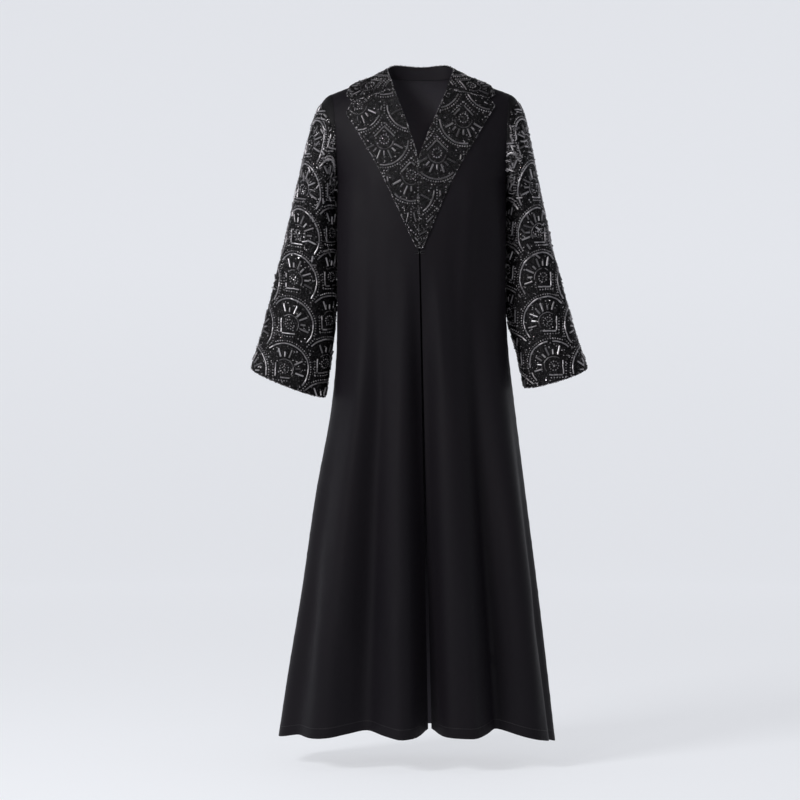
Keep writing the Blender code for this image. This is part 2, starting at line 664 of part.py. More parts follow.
def make_wire(name, side, material, collection):
    """The hook or the eye: a bent wire sewn on beside the front edge."""
    off = CLOTH / 2 + SEAM + WIRE_RADIUS
    curve = bpy.data.curves.new(name, "CURVE")
    curve.dimensions = "3D"
    curve.bevel_depth = WIRE_RADIUS
    curve.bevel_resolution = 2
    curve.use_fill_caps = True
    spline = curve.splines.new("POLY")
    spline.points.add(len(WIRE_BENDS) - 1)
    for point, bend in zip(spline.points, WIRE_BENDS):
        row = row_of(side, CLOSURE_Z - WIRE_BELOW + bend.up, lambda _, x=bend.across: x)
        place = skin_point(side, bend.across, row) + off * skin_normal(side, bend.across, row)
        point.co = (*place, 1.0)
    curve.materials.append(material)
    collection.objects.link(bpy.data.objects.new(name, curve))


def make_materials():
    made = {}
    for name, (colour, roughness, metallic) in MATERIALS.items():
        material = bpy.data.materials.new(name)
        material.use_nodes = True
        shader = material.node_tree.nodes["Principled BSDF"]
        shader.inputs["Base Color"].default_value = (*colour, 1.0)
        shader.inputs["Roughness"].default_value = roughness
        shader.inputs["Metallic"].default_value = metallic
        material.diffuse_color = (*colour, 1.0)
        made[name] = material
    return made


def main():
    for old in list(bpy.data.objects):
        bpy.data.objects.remove(old)
    collection = bpy.data.collections.new("Abaya")
    bpy.context.scene.collection.children.link(collection)
    materials = make_materials()
    crepe, beaded = materials["crepe"], materials["beaded"]

    pieces = []
    for side, word in ((LEFT, "left"), (RIGHT, "right")):
        inside_out = side == RIGHT
        pieces.append(Cloth(f"front_{word}", front_points(side), CLOTH, crepe, flip=inside_out, seams=("top", "last")))
        pieces.append(Cloth(f"sleeve_{word}", sleeve_points(side), BEADED, beaded, True, not inside_out, ("top",)))
    pieces.append(Cloth("back", back_points(), CLOTH, crepe, flip=True, seams=("top", "first", "last")))
    share_seam_normals(pieces)
    below = outer_skin(pieces)
    for side, word in ((LEFT, "left"), (RIGHT, "right")):
        pieces.append(Cloth(f"lapel_{word}", lapel_points(side), BEADED, beaded, flip=side == RIGHT))
        settle(pieces[-1], below)
    pieces.append(Cloth("collar", both_sides(collar_column), BEADED, beaded, flip=True))
    settle(pieces[-1], below)
    pieces.append(Cloth("collar_stand", both_sides(stand_column), CLOTH, crepe, flip=True))
    for piece in pieces:
        piece.open_seams()
        piece.build(collection)
    make_wire("hook", RIGHT, materials["wire"], collection)
    make_wire("eye", LEFT, materials["wire"], collection)


main()
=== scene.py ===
"""The looks of the beaded abaya: thin cloth on the solids' form, beads, stitches, materials,
camera and studio light. Metres, +Z up; the wearer faces -Y and their left is +X."""

import json
import math
from bisect import bisect_right
from collections import namedtuple

import bpy
import numpy as np
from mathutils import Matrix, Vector
from mathutils.bvhtree import BVHTree

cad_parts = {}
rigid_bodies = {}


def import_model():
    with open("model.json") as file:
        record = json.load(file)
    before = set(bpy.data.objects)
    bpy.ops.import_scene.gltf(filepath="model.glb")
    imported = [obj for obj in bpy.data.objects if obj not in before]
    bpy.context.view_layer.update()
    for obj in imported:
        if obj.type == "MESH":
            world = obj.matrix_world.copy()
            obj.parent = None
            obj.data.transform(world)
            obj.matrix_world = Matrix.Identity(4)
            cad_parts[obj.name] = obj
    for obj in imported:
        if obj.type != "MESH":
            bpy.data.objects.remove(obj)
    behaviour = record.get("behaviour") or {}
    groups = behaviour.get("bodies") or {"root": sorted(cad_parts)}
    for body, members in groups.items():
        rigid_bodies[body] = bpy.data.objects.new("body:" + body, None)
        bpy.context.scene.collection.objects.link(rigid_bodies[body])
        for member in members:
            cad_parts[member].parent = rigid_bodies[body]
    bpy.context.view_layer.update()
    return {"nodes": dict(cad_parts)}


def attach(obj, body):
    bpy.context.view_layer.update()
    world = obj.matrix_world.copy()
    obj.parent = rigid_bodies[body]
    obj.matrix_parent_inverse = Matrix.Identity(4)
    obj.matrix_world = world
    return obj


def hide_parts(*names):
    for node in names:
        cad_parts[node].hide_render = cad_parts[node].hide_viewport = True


for leftover in list(bpy.data.objects):
    bpy.data.objects.remove(leftover)
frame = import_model()

LEFT, RIGHT = 1, -1  # the wearer's sides
SIDES = ((LEFT, "left"), (RIGHT, "right"))
BODY = ("front_left", "front_right", "back")
SEED = 41

# The cut, as in the solids.
CREPE_WALL = 0.0009
BEADED_WALL = 0.0014
SOLID_CREPE_WALL, SOLID_BEADED_WALL = 0.0015, 0.0020
SEAM = 0.0003
NECK_HALF = 0.071
SHOULDER_HALF = 0.192
SHOULDER_DROP = 0.043
SHOULDER_ROUND = 0.6
ARMHOLE_DROP = 0.194
ARMHOLE_HALF_DEPTH = 0.062
ARMHOLE_SCOOP = 0.005
UNDERARM_Z = -SHOULDER_DROP - ARMHOLE_DROP
NAPE_ROUND = 0.045
UNDERARM_RISE = 0.015
SECTION_POWER_TOP, SECTION_POWER_HEM = 2.4, 2.1
HEM_LEFT_Z, HEM_RIGHT_Z = -1.426, -1.416
HEM_FRONT_Z, HEM_BACK_Z = -1.400, -1.412
HEM_DIP_POWER = 4.0
V_BOTTOM = 150 / 180
V_CURVE = 1.6
DRIFT_V, DRIFT_HEM = -0.006, 0.019
FRONT_EDGE_TOP, FRONT_EDGE_HEM = 0.0012, 0.0040
CLOSURE_Z = -0.379
RECESS_HEM = 0.070
RECESS_HALF_WIDTH = 0.026
CORNER_RISE = 0.012
CORNER_HALF_WIDTH = 0.016
HEM_LIFT = 0.25
BACK_NECK = 30 / 180
STAND_BACK, STAND_SIDE, STAND_FRONT = 0.026, 0.010, 0.003
STAND_FLAT = 0.6
STAND_LEAN = 0.10
FOLD_RISE = 0.0018
LAY_GAP = 0.0012
FOLD_SIDE_FADE, CREASE_SIDE_FADE = 0.12, 0.10  # shares next to the side seam where they fade out
FOLD_GROWTH = 1.15  # a fold is full a little before the hem
CREASE_RISE, CREASE_FALL, CREASE_END = 0.35, 0.4, 1.1
CREASE_PAST = 0.02
RECESS_START, RECESS_POWER = 0.35, 1.6
FRONT_COLUMN_POWER = 1.15  # the front's columns stand closer at its edge

Section = namedtuple("Section", "level left right front back")
SECTIONS = [
    Section(-0.237, 0.1830, 0.1785, 0.121, 0.117),
    Section(-0.350, 0.1825, 0.1785, 0.126, 0.119),
    Section(-0.500, 0.1825, 0.1785, 0.129, 0.121),
    Section(-0.600, 0.1885, 0.1800, 0.131, 0.124),
    Section(-0.700, 0.2000, 0.1890, 0.134, 0.129),
    Section(-0.900, 0.2250, 0.2245, 0.142, 0.143),
    Section(-1.100, 0.2505, 0.2535, 0.151, 0.158),
    Section(-1.300, 0.2740, 0.2865, 0.160, 0.172),
    Section(-1.435, 0.2890, 0.3065, 0.166, 0.180),
]

# The largest folds. share is 0 at the mid-plane and 1 at the side seam; amount is outwards at the hem.
Fold = namedtuple("Fold", "face side start share_start share_hem width amount")
FOLDS = [
    Fold("front", RIGHT, -0.36, 0.140, 0.100, 0.075, 0.012),
    Fold("front", RIGHT, -0.20, 0.330, 0.300, 0.090, -0.038),
    Fold("front", RIGHT, -0.16, 0.360, 0.520, 0.110, 0.014),
    Fold("front", RIGHT, -0.55, 0.700, 0.740, 0.110, -0.016),
    Fold("front", LEFT, -0.36, 0.150, 0.160, 0.080, 0.008),
    Fold("front", LEFT, -0.25, 0.380, 0.360, 0.095, -0.045),
    Fold("front", LEFT, -0.30, 0.600, 0.620, 0.120, 0.014),
    Fold("front", LEFT, -0.60, 0.800, 0.820, 0.090, -0.014),
    Fold("back", RIGHT, -0.22, 0.180, 0.200, 0.100, 0.020),
    Fold("back", RIGHT, -0.22, 0.400, 0.420, 0.100, -0.026),
    Fold("back", RIGHT, -0.30, 0.620, 0.650, 0.110, 0.018),
    Fold("back", LEFT, -0.26, 0.160, 0.140, 0.090, 0.018),
    Fold("back", LEFT, -0.24, 0.380, 0.360, 0.100, -0.024),
    Fold("back", LEFT, -0.34, 0.600, 0.600, 0.110, 0.020),
    Fold("back", LEFT, -0.70, 0.820, 0.820, 0.090, -0.014),
]

# Smaller creases, each a soft trough (height below 0) or ridge between two points of the front view.
Crease = namedtuple("Crease", "face x_start z_start x_end z_end width height")
CREASES = [
    Crease("front", -0.112, -0.185, -0.140, -0.420, 0.016, -0.0040),
    Crease("front", -0.132, -0.210, -0.158, -0.560, 0.018, 0.0036),
    Crease("front", -0.158, -0.250, -0.168, -0.640, 0.011, -0.0030),
    Crease("front", -0.120, -0.520, -0.135, -1.050, 0.024, 0.0040),
    Crease("front", -0.058, -0.330, -0.066, -0.900, 0.014, -0.0030),
    Crease("front", -0.026, -0.390, -0.032, -0.800, 0.010, 0.0026),
    Crease("front", -0.205, -0.900, -0.232, -1.360, 0.017, 0.0050),
    Crease("front", -0.072, -1.080, -0.062, -1.400, 0.015, 0.0046),
    Crease("front", -0.173, -1.150, -0.185, -1.400, 0.012, -0.0036),
    Crease("front", 0.108, -0.190, 0.098, -0.520, 0.014, 0.0040),
    Crease("front", 0.130, -0.230, 0.143, -0.610, 0.018, -0.0038),
    Crease("front", 0.160, -0.255, 0.170, -0.560, 0.011, 0.0030),
    Crease("front", 0.070, -0.300, 0.082, -0.860, 0.012, -0.0030),
    Crease("front", 0.032, -0.390, 0.044, -0.760, 0.010, 0.0026),
    Crease("front", 0.172, -0.860, 0.196, -1.330, 0.020, 0.0052),
    Crease("front", 0.228, -1.080, 0.242, -1.400, 0.013, -0.0042),
    Crease("front", 0.086, -1.020, 0.094, -1.400, 0.016, 0.0048),
    Crease("front", 0.146, -1.190, 0.152, -1.400, 0.011, -0.0036),
    Crease("back", -0.150, -0.200, -0.092, -0.460, 0.018, -0.0050),
    Crease("back", -0.132, -0.235, -0.128, -0.690, 0.016, 0.0044),
    Crease("back", -0.040, -0.150, -0.030, -0.620, 0.022, 0.0040),
    Crease("back", -0.075, -0.480, -0.088, -1.120, 0.018, -0.0046),
    Crease("back", -0.196, -0.820, -0.226, -1.400, 0.016, 0.0056),
    Crease("back", -0.112, -1.060, -0.126, -1.420, 0.014, 0.0050),
    Crease("back", 0.146, -0.210, 0.100, -0.430, 0.017, -0.0046),
    Crease("back", 0.118, -0.255, 0.108, -0.740, 0.018, 0.0046),
    Crease("back", 0.034, -0.190, 0.026, -0.520, 0.019, -0.0034),
    Crease("back", 0.066, -0.560, 0.082, -1.240, 0.020, 0.0050),
    Crease("back", 0.188, -0.760, 0.222, -1.380, 0.015, -0.0052),
    Crease("back", 0.130, -1.120, 0.140, -1.420, 0.013, 0.0048),
    Crease("back", 0.010, -1.020, 0.004, -1.420, 0.016, 0.0050),
]

Ring = namedtuple("Ring", "outer_x outer_z inner_x inner_z half_depth middle_y")
RINGS = {
    LEFT: [
        Ring(0.2430, -0.190, 0.1860, -0.262, 0.070, 0.012),
        Ring(0.2600, -0.270, 0.1858, -0.335, 0.068, 0.020),
        Ring(0.2815, -0.370, 0.1858, -0.430, 0.065, 0.020),
        Ring(0.3060, -0.465, 0.1872, -0.515, 0.062, 0.010),
        Ring(0.3310, -0.555, 0.2080, -0.598, 0.058, -0.005),
        Ring(0.3550, -0.627, 0.2220, -0.667, 0.054, -0.020),
    ],
    RIGHT: [
        Ring(0.2520, -0.190, 0.1815, -0.262, 0.070, 0.012),
        Ring(0.2710, -0.270, 0.1812, -0.335, 0.068, 0.022),
        Ring(0.2930, -0.370, 0.1812, -0.430, 0.065, 0.024),
        Ring(0.3160, -0.465, 0.1840, -0.524, 0.062, 0.014),
        Ring(0.3400, -0.557, 0.1940, -0.615, 0.058, -0.002),
        Ring(0.3610, -0.628, 0.2040, -0.688, 0.054, -0.018),
    ],
}
CAP_REACH_TOP, CAP_REACH_SIDE, CAP_REACH_UNDER = 0.100, 0.050, 0.016
CAP_DIP_UNDER = math.radians(10)
CAP_DIP_LOW = math.radians(60)
CAP_LEAVE_SIDE = 0.15
UNDERARM_SHARE = 0.85
CAP_END_REACH, CAP_END_REACH_UNDER = 0.16, 0.03
CUFF_POWER = 2.2
CUFF_BELLY = 0.011
SLEEVE_GROOVE = 0.006
GROOVE_TURN, GROOVE_WIDTH = math.radians(128), math.radians(16)

# Creases of the sleeves: turn is in degrees, 0 at the outer side and 90 in front; along is 0 at
# the armhole and 1 at the cuff.
SleeveCrease = namedtuple("SleeveCrease", "side turn_start turn_end along_start along_end width height")
SLEEVE_CREASES = [
    SleeveCrease(LEFT, 62, 48, 0.18, 0.52, 9, -0.0032),
    SleeveCrease(LEFT, 118, 84, 0.12, 0.46, 10, 0.0036),
    SleeveCrease(LEFT, 96, 110, 0.50, 0.92, 11, -0.0034),
    SleeveCrease(LEFT, 300, 268, 0.14, 0.58, 12, -0.0040),
    SleeveCrease(LEFT, 236, 250, 0.30, 0.86, 11, 0.0036),
    SleeveCrease(LEFT, 20, 28, 0.46, 0.88, 10, 0.0028),
    SleeveCrease(RIGHT, 70, 52, 0.16, 0.48, 10, -0.0034),
    SleeveCrease(RIGHT, 124, 92, 0.10, 0.42, 9, 0.0034),
    SleeveCrease(RIGHT, 88, 102, 0.44, 0.96, 12, -0.0036),
    SleeveCrease(RIGHT, 296, 276, 0.20, 0.66, 11, 0.0040),
    SleeveCrease(RIGHT, 244, 232, 0.26, 0.80, 12, -0.0038),
    SleeveCrease(RIGHT, 24, 14, 0.40, 0.82, 9, 0.0028),
]

Outline = namedtuple("Outline", "x z")
LAPEL_OUTLINE = [
    Outline(0.156, -0.082),
    Outline(0.123, -0.138),
    Outline(0.089, -0.197),
    Outline(0.060, -0.255),
    Outline(0.036, -0.310),
    Outline(0.018, -0.352),
    Outline(0.006, -0.379),
]
GORGE_DEGREES = 50
NOTCH_X, NOTCH_Z = 0.143, -0.062
LEFT_LIFT = 0.008
NOTCH_SHARE = 0.70

CollarEdge = namedtuple("CollarEdge", "share x row")
COLLAR_EDGE = [
    CollarEdge(0.00, 0.000, -66 / 180),
    CollarEdge(0.25, 0.066, -61 / 180),
    CollarEdge(0.45, 0.110, -44 / 180),
    CollarEdge(0.60, 0.134, -22 / 180),
    CollarEdge(0.70, 0.143, 0.0),
    CollarEdge(0.85, 0.151, 18 / 180),
    CollarEdge(1.00, 0.156, 35 / 180),
]
COLLAR_END_BLEND = 0.22
COLLAR_FALL_POWER = 2.5
LAPEL_KINK_POWER = 4

# How finely each piece is made.
ARMHOLE_ROWS, SKIRT_ROWS = 40, 112
FRONT_COLUMNS, BACK_HALF_COLUMNS, BACK_NECK_COLUMNS = 44, 44, 16
SLEEVE_CAP_ROWS, SLEEVE_ROWS = 22, 62
LAPEL_COLUMNS, LAPEL_ROWS = 16, 42
COLLAR_ROWS, COLLAR_SEAM_POINTS = 18, 34
STAND_ROWS = 6

HEM_TURN = 0.022  # depth of the turned hem
HEM_EXTRA = 0.0007  # extra thickness where the hem is turned up
HEM_STEP = 0.003
STAND_PAINTED_LIGHT = 0.10  # how near the collar stand's colour is to the paler inside: painted light on the stand
STITCH_PITCH, STITCH_LENGTH, STITCH_RADIUS = 0.0042, 0.0026, 0.00028
SEAM_PUCKER = 0.0006
SEAM_REACH, SEAM_FLAT = 0.016, 0.004
SIDE_PUCKER_PITCH, TOP_PUCKER_PITCH = 0.022, 0.018


def hermite(t, start, leave, end, arrive):
    """A smooth path from start to end, t from 0 to 1; leave and arrive are its directions there."""
    return (
        (2 * t**3 - 3 * t**2 + 1) * start
        + (t**3 - 2 * t**2 + t) * leave
        + (3 * t**2 - 2 * t**3) * end
        + (t**3 - t**2) * arrive
    )


class Curve:
    """A smooth curve through a short table."""

    def __init__(self, xs, ys):
        pairs = sorted(zip(xs, ys))
        self.xs = [float(p[0]) for p in pairs]
        self.ys = [float(p[1]) for p in pairs]
        self.slopes = [float(s) for s in np.gradient(self.ys, self.xs)]

    def __call__(self, x):
        x = min(max(x, self.xs[0]), self.xs[-1])
        i = min(bisect_right(self.xs, x) - 1, len(self.xs) - 2)
        span = self.xs[i + 1] - self.xs[i]
        leave, arrive = span * self.slopes[i], span * self.slopes[i + 1]
        return hermite((x - self.xs[i]) / span, self.ys[i], leave, self.ys[i + 1], arrive)


LEVELS = [s.level for s in SECTIONS]
WIDTH = {LEFT: Curve(LEVELS, [s.left for s in SECTIONS]), RIGHT: Curve(LEVELS, [s.right for s in SECTIONS])}
DEPTH = {True: Curve(LEVELS, [s.back for s in SECTIONS]), False: Curve(LEVELS, [s.front for s in SECTIONS])}
RING_CURVES = {
    side: [Curve(range(len(rings)), column) for column in zip(*rings)] for side, rings in RINGS.items()
}
LAPEL_MARKS = np.linspace(0.0, 1.0, len(LAPEL_OUTLINE))
COLLAR_X = Curve([e.share for e in COLLAR_EDGE], [e.x for e in COLLAR_EDGE])
COLLAR_ROW = Curve([e.share for e in COLLAR_EDGE], [e.row for e in COLLAR_EDGE])


def ease(x):
    """0 below 0, 1 above 1, and a smooth rise between."""
    x = min(max(x, 0.0), 1.0)
    return x * x * (3 - 2 * x)


def mix(a, b, share):
    return a + (b - a) * share


def unit(v):
    v = np.asarray(v, float)
    return v / max(np.linalg.norm(v), 1e-12)


def unit_rows(vectors):
    return vectors / np.maximum(np.linalg.norm(vectors, axis=-1, keepdims=True), 1e-12)


def slope_share(x, edge_x):
    """How far down the shoulder's slope x lies: 0 at the mid-plane, 1 at edge_x."""
    return (math.hypot(x, NAPE_ROUND) - NAPE_ROUND) / (math.hypot(edge_x, NAPE_ROUND) - NAPE_ROUND)


SLOPE_RISE = SHOULDER_DROP / (1 - slope_share(NECK_HALF, SHOULDER_HALF))


class Row:
    """One level section of the body: row is 0 at the shoulder seam, 1 at the underarm, 2 at the hem."""

    def __init__(self, side, row, back):
        self.side, self.row, self.back = side, row, back
        self.skirt = max(row - 1, 0.0)
        self.power = mix(SECTION_POWER_TOP, SECTION_POWER_HEM, self.skirt)
        if row <= 1:
            turn = math.pi * row
            self.side_z = -SHOULDER_DROP - ARMHOLE_DROP * (1 - math.cos(turn)) / 2
            self.centre_z = self.side_z + mix(SLOPE_RISE, UNDERARM_RISE, row)
            self.depth = DEPTH[back](UNDERARM_Z) * max(math.sin(turn / 2), 0.0) ** SHOULDER_ROUND
            self.edge_x = mix(SHOULDER_HALF, WIDTH[side](UNDERARM_Z), row) - ARMHOLE_SCOOP * math.sin(turn)
            edge_y = ARMHOLE_HALF_DEPTH * math.sin(turn)
            ratio = edge_y / self.depth if row > 0 else 0.0
            self.edge_angle = math.acos(min(max(ratio, 0.0), 1.0) ** (self.power / 2))
            self.width = self.edge_x / math.sin(self.edge_angle) ** (2 / self.power)
        else:
            hem_z = HEM_BACK_Z if back else HEM_FRONT_Z
            self.side_z = mix(UNDERARM_Z, HEM_LEFT_Z if side == LEFT else HEM_RIGHT_Z, self.skirt)
            self.centre_z = mix(UNDERARM_Z + UNDERARM_RISE, hem_z, self.skirt)
            self.depth = DEPTH[back](self.side_z)
            self.edge_x = self.width = WIDTH[side](self.side_z)
            self.edge_angle = math.pi / 2

    def angle(self, x):
        return math.asin(min(x / self.width, 1.0) ** (self.power / 2))

    def point(self, angle):
        """A point of the cloth's middle surface on this row."""
        sine, cosine = math.sin(angle), max(math.cos(angle), 0.0)
        x = self.width * sine ** (2 / self.power)
        y = self.depth * cosine ** (2 / self.power)
        rise = slope_share(x, self.edge_x) ** mix(1.0, HEM_DIP_POWER, self.skirt)
        z = mix(self.centre_z, self.side_z, rise)
        out = unit((x / self.width**2 + 1e-9, y / max(self.depth, 1e-3) ** 2))
        share = angle / (math.pi / 2)
        bulge = fold_height(self.side, self.back, share, self.side_z)
        bulge += crease_height(self.back, self.side * x, z) * ease((1 - share) / CREASE_SIDE_FADE)
        x, y = x + out[0] * bulge, y + out[1] * bulge
        z -= HEM_LIFT * bulge * self.skirt**4
        if self.back:
            return np.array((self.side * x, y, z))
        y -= recess(x, z)
        z += CORNER_RISE * self.skirt**8 * math.exp(-((x / CORNER_HALF_WIDTH) ** 2))
        return np.array((self.side * x + drift(z) * (1 - rise), -y, z))


def fold_height(side, back, share, z):
    """How far the folds push the cloth outwards there."""
    total = 0.0
    for fold in FOLDS:
        if fold.side != side or (fold.face == "back") != back:
            continue
        down = (fold.start - z) / (fold.start - HEM_LEFT_Z)
        if down > 0:
            middle = mix(fold.share_start, fold.share_hem, down)
            near = math.exp(-(((share - middle) / fold.width) ** 2))
            total += fold.amount * ease(down * FOLD_GROWTH) * near
    return total * ease((1 - share) / FOLD_SIDE_FADE)


def crease_height(back, x, z):
    """How far the smaller creases push the cloth outwards there."""
    total = 0.0
    for crease in CREASES:
        near = crease.z_end - CREASE_PAST <= z <= crease.z_start + CREASE_PAST
        if (crease.face == "back") != back or not near:
            continue
        along_x, along_z = crease.x_end - crease.x_start, crease.z_end - crease.z_start
        length = math.hypot(along_x, along_z)
        along = ((x - crease.x_start) * along_x + (z - crease.z_start) * along_z) / length**2
        aside = ((x - crease.x_start) * along_z - (z - crease.z_start) * along_x) / length
        if 0 < along < CREASE_END:
            fade = ease(along / CREASE_RISE)
            if crease.z_end >= HEM_FRONT_Z + 0.01:  # the others run out through the hem
                fade *= ease((1 - along) / CREASE_FALL)
            total += crease.height * fade * math.exp(-((aside / crease.width) ** 2))
    return total


def recess(x, z):
    """How far the front edges turn inwards below the closure."""
    down = (CLOSURE_Z - z) / (CLOSURE_Z - HEM_FRONT_Z)
    if down <= 0:
        return 0.0
    depth = RECESS_HEM * mix(RECESS_START * ease(down * 3), 1.0, down**RECESS_POWER)
    return depth * math.exp(-((x / RECESS_HALF_WIDTH) ** 2))


def drift(z):
    """How far the front opening lies from the mid-plane at a height."""
    if z > UNDERARM_Z:
        return DRIFT_V * ease(z / UNDERARM_Z)
    return mix(DRIFT_V, DRIFT_HEM, (z - UNDERARM_Z) / (HEM_FRONT_Z - UNDERARM_Z))


def neck_edge_x(row):
    """The front edge of a front: the V neck, then the straight front edge."""
    below = mix(FRONT_EDGE_TOP, FRONT_EDGE_HEM, max(row - 1, 0.0))
    if row >= V_BOTTOM:
        return below
    return max(NECK_HALF * math.cos(math.pi / 2 * row / V_BOTTOM) ** V_CURVE, below)


ARMHOLE_SHARES = np.linspace(0.0, 1.0, ARMHOLE_ROWS + 1)
BODY_ROWS = np.concatenate([ARMHOLE_SHARES, 1 + np.linspace(0.0, 1.0, SKIRT_ROWS + 1)[1:]])


def front_points(side):
    """Rows from the shoulder seam to the hem, columns from the front edge to the side."""
    grid = []
    for r in BODY_ROWS:
        row = Row(side, r, back=False)
        start = row.angle(neck_edge_x(r))
        shares = (np.arange(FRONT_COLUMNS + 1) / FRONT_COLUMNS) ** FRONT_COLUMN_POWER
        grid.append([row.point(mix(start, row.edge_angle, share)) for share in shares])
    return np.array(grid)


def back_half_points(side):
    """One half of the back, columns from the centre back to the side."""
    shoulder_columns = BACK_HALF_COLUMNS - BACK_NECK_COLUMNS
    top_x = [NECK_HALF * math.sin(math.pi / 2 * k / BACK_NECK_COLUMNS) for k in range(BACK_NECK_COLUMNS)]
    top_x += [mix(NECK_HALF, SHOULDER_HALF, k / shoulder_columns) for k in range(shoulder_columns + 1)]
    grid = []
    for r in BODY_ROWS:
        spread = ease(r * 3)
        line = []
        for k, x in enumerate(top_x):
            start = BACK_NECK * math.sqrt(max(1 - (x / NECK_HALF) ** 2, 0.0)) if x < NECK_HALF else 0.0
            row = Row(side, mix(start, 1.0, r) if r < 1 else r, back=True)
            outer_share = max(x - NECK_HALF, 0.0) / (SHOULDER_HALF - NECK_HALF)
            top_angle = row.angle(x + (row.edge_x - SHOULDER_HALF) * outer_share)
            line.append(row.point(mix(top_angle, row.edge_angle * k / BACK_HALF_COLUMNS, spread)))
        grid.append(line)
    return np.array(grid)


def back_points():
    """The back in one piece, from the wearer's right side seam to the left."""
    right, left = back_half_points(RIGHT), back_half_points(LEFT)
    middle = (right[:, :1] + left[:, :1]) / 2
    return np.concatenate([right[:, :0:-1], middle, left[:, 1:]], axis=1)


def ring_point(side, position, turn):
    """A point of the sleeve below its cap; position counts along its rings."""
    at = Ring(*(curve(position) for curve in RING_CURVES[side]))
    middle = np.array(((at.outer_x + at.inner_x) / 2, at.middle_y, (at.outer_z + at.inner_z) / 2))
    across = np.array((at.outer_x - at.inner_x, 0.0, at.outer_z - at.inner_z)) / 2
    cosine, sine = math.cos(turn), math.sin(turn)
    power = 2 / CUFF_POWER
    point = middle + across * math.copysign(abs(cosine) ** power, cosine)
    groove = SLEEVE_GROOVE * math.exp(-(((turn - GROOVE_TURN) / GROOVE_WIDTH) ** 2))
    point[1] -= (at.half_depth - groove) * math.copysign(abs(sine) ** power, sine)
    point[2] -= CUFF_BELLY * abs(sine) * (position / (len(RINGS[side]) - 1)) ** 4
    point[0] *= side
    return point


def sleeve_points(side):
    """Rows from the armhole to the cuff; columns go round and close on themselves."""
    slope = math.atan2(SHOULDER_DROP, SHOULDER_HALF - NECK_HALF)
    front = [Row(side, r, back=False) for r in ARMHOLE_SHARES]
    back = [Row(side, r, back=True) for r in ARMHOLE_SHARES[-2:0:-1]]
    armhole = [row.point(row.edge_angle) for row in front + back]
    turns = [math.pi * r for r in ARMHOLE_SHARES]
    turns += [2 * math.pi - t for t in turns[-2:0:-1]]
    rings = len(RINGS[side]) - 1
    columns = []
    for start, turn in zip(armhole, turns):
        under = (1 - math.cos(turn)) / 2
        side_on = abs(math.sin(turn))
        reach = mix(mix(CAP_REACH_TOP, CAP_REACH_UNDER, under), CAP_REACH_SIDE, side_on**2)
        dip = mix(slope, CAP_DIP_LOW, under)
        if under > UNDERARM_SHARE:
            dip = CAP_DIP_UNDER
            clear = (SOLID_CREPE_WALL + SOLID_BEADED_WALL + SEAM) / 2
            start = start + np.array((side * clear, 0.0, 0.0))
        leave = reach * np.array((side * math.cos(dip), -CAP_LEAVE_SIDE * math.sin(turn), -math.sin(dip)))
        end = ring_point(side, 0.0, turn)
        arrive = unit(ring_point(side, 0.5, turn) - end) * mix(CAP_END_REACH, CAP_END_REACH_UNDER, under)
        column = [hermite(k / SLEEVE_CAP_ROWS, start, leave, end, arrive) for k in range(SLEEVE_CAP_ROWS)]
        column += [ring_point(side, rings * k / SLEEVE_ROWS, turn) for k in range(SLEEVE_ROWS + 1)]
        columns.append(column)
    grid = np.array(columns).transpose(1, 0, 2)
    return grid + sleeve_creases(side, grid, np.degrees(turns))


def sleeve_creases(side, grid, turns):
    """The pushes of the sleeve's creases, along its normals."""
    normals = grid_normals(grid, True) * (1 if side == RIGHT else -1)
    along = np.linspace(0.0, 1.0, grid.shape[0])[:, None]
    push = np.zeros(grid.shape[:2])
    for crease in SLEEVE_CREASES:
        if crease.side != side:
            continue
        down = (along - crease.along_start) / (crease.along_end - crease.along_start)
        middle = mix(crease.turn_start, crease.turn_end, np.clip(down, 0, 1))
        aside = (turns[None, :] - middle + 180) % 360 - 180
        fade = np.sin(np.pi * np.clip(down, 0, 1)) ** 2
        push += crease.height * fade * np.exp(-((aside / crease.width) ** 2))
    return normals * push[..., None]


def skin_point(side, x, row):
    """The body's middle surface at x on a row; a negative row is on the back."""
    line = Row(side, abs(row), back=row < 0)
    return line.point(min(line.angle(x), line.edge_angle))


def skin_normal(side, x, row):
    """The outward direction there, from two short steps on the surface."""
    step = 0.004
    low = max(x - step, 0.0005)
    across = skin_point(side, x + step, row) - skin_point(side, low, row)
    down = skin_point(side, x, row + step) - skin_point(side, x, row - step)
    return side * unit(np.cross(down, across))


def row_of(side, z, x_at):
    """The front row that passes through z where x is x_at(row)."""
    low, high = 0.0, 2.0
    for _ in range(20):
        row = (low + high) / 2
        if skin_point(side, x_at(row), row)[2] > z:
            low = row
        else:
            high = row
    return (low + high) / 2


LAY_OFF = SOLID_CREPE_WALL / 2 + LAY_GAP + SOLID_BEADED_WALL / 2


